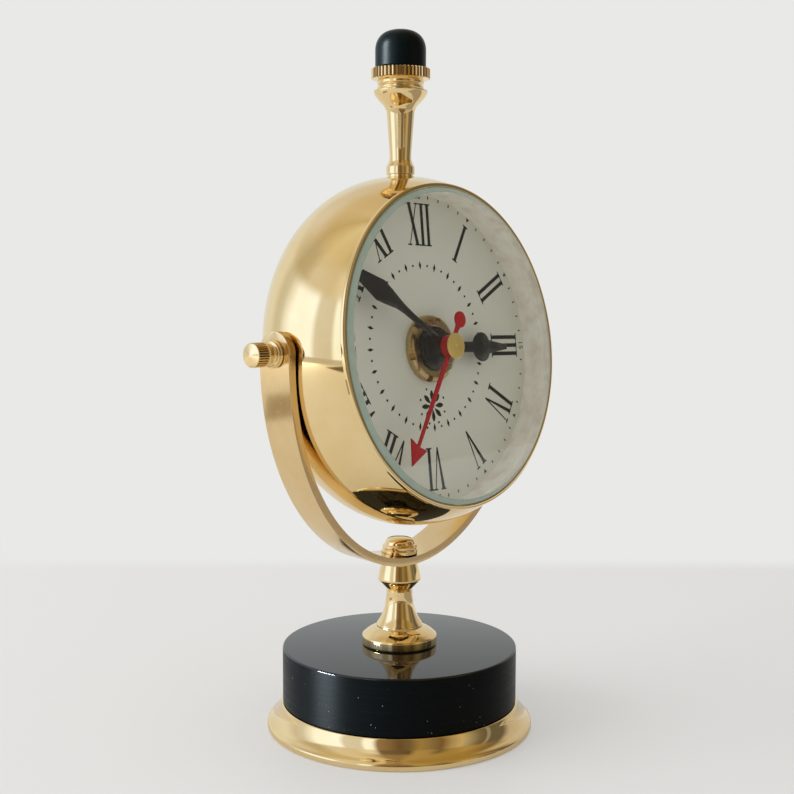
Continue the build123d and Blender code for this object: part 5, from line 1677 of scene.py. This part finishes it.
# %% Back cover
cover_back, cover_front, cover_r = dial_levels("back_cover")
COVER_T = 0.8
COVER_SINK = 0.3
COVER_RING_R = 26.0
NAIL_R = 3.0
NAIL_OUT = 1.6
NAIL_FROM = -1.0
NAIL_TO = 0.9
NAIL_STEPS = 64
inner_r = cover_r - COVER_T
cover_profile = [(0.0, COVER_SINK), (COVER_RING_R - 1.4, COVER_SINK, 0.3), (COVER_RING_R - 0.9, 0.0, 0.3)]
cover_profile += [(COVER_RING_R - 0.1, 0.0, 0.3), (COVER_RING_R + 0.4, COVER_SINK, 0.3)]
cover_outline = lifted(cover_profile + [(cover_r, COVER_SINK, 0.35)], cover_back)
cover_outline += [(cover_r, cover_front, 0.1), (inner_r, cover_front, 0.1)]
cover_outline += lifted([(inner_r, COVER_SINK + COVER_T), (0.0, COVER_SINK + COVER_T)], cover_back)
cover = set_in_place(turned_mesh("back_cover_turned", cover_outline, steps=CASE_STEPS), dial_place)
cover.data.materials.append(polished_brass)
nail_outline = drum(NAIL_R, cover_back + NAIL_FROM, cover_back + NAIL_TO)
nail_place = dial_place @ Matrix.Translation((0.0, -(cover_r + NAIL_OUT) * MM, 0.0))
carve(cover, set_in_place(turned_mesh("nail_notch", nail_outline, steps=NAIL_STEPS), nail_place))
stand_in(tidy_mesh(cover), polished_brass, "back_cover")
print("cover radius", round(cover_r, 2))

# %% [markdown]
# ## Inside
# Behind the dial sits a quartz movement. Its CAD pieces already have their true shapes, so they
# stay, and only get finishes.

# %% Finishes of the inner pieces
INNER = {
    "aged_brass": aged_brass,
    "polished_brass": polished_brass,
    "steel": metal_finish("steel", (0.56, 0.56, 0.55), 0.32),
    "black_rubber": paint_finish(
        "black_rubber", (0.015, 0.015, 0.015), (0.03, 0.03, 0.03), 0.7, speck=0.1, grain=0.01
    ),
    "movement_shell": paint_finish(
        "movement_shell", (0.02, 0.02, 0.022), (0.035, 0.035, 0.038), 0.4, speck=0.1, grain=0.006
    ),
    "gear_plastic": paint_finish("gear_plastic", (0.75, 0.73, 0.66), (0.66, 0.64, 0.57), 0.4),
    "magnet": metal_finish("magnet", (0.22, 0.22, 0.23), 0.45),
    "cell_can": paint_finish("cell_can", (0.06, 0.10, 0.16), (0.09, 0.14, 0.21), 0.25, coat=0.3),
    "contact_metal": metal_finish("contact_metal", (0.72, 0.70, 0.66), 0.25),
    "board_green": paint_finish("board_green", (0.02, 0.13, 0.06), (0.03, 0.18, 0.08), 0.35, coat=0.2),
    "iron_plate": metal_finish("iron_plate", (0.36, 0.35, 0.34), 0.4),
    "copper_wire": metal_finish("copper_wire", (0.72, 0.34, 0.18), 0.3),
    "black_hand": black_hand,
    "red_hand": red_hand,
}
dressed = 0
for node, shape in frame["nodes"].items():
    if shape.hide_render:
        continue
    shape.data.materials.clear()
    shape.data.materials.append(INNER[slot_of_node[node]])
    dressed += 1
print("inner pieces dressed:", dressed)
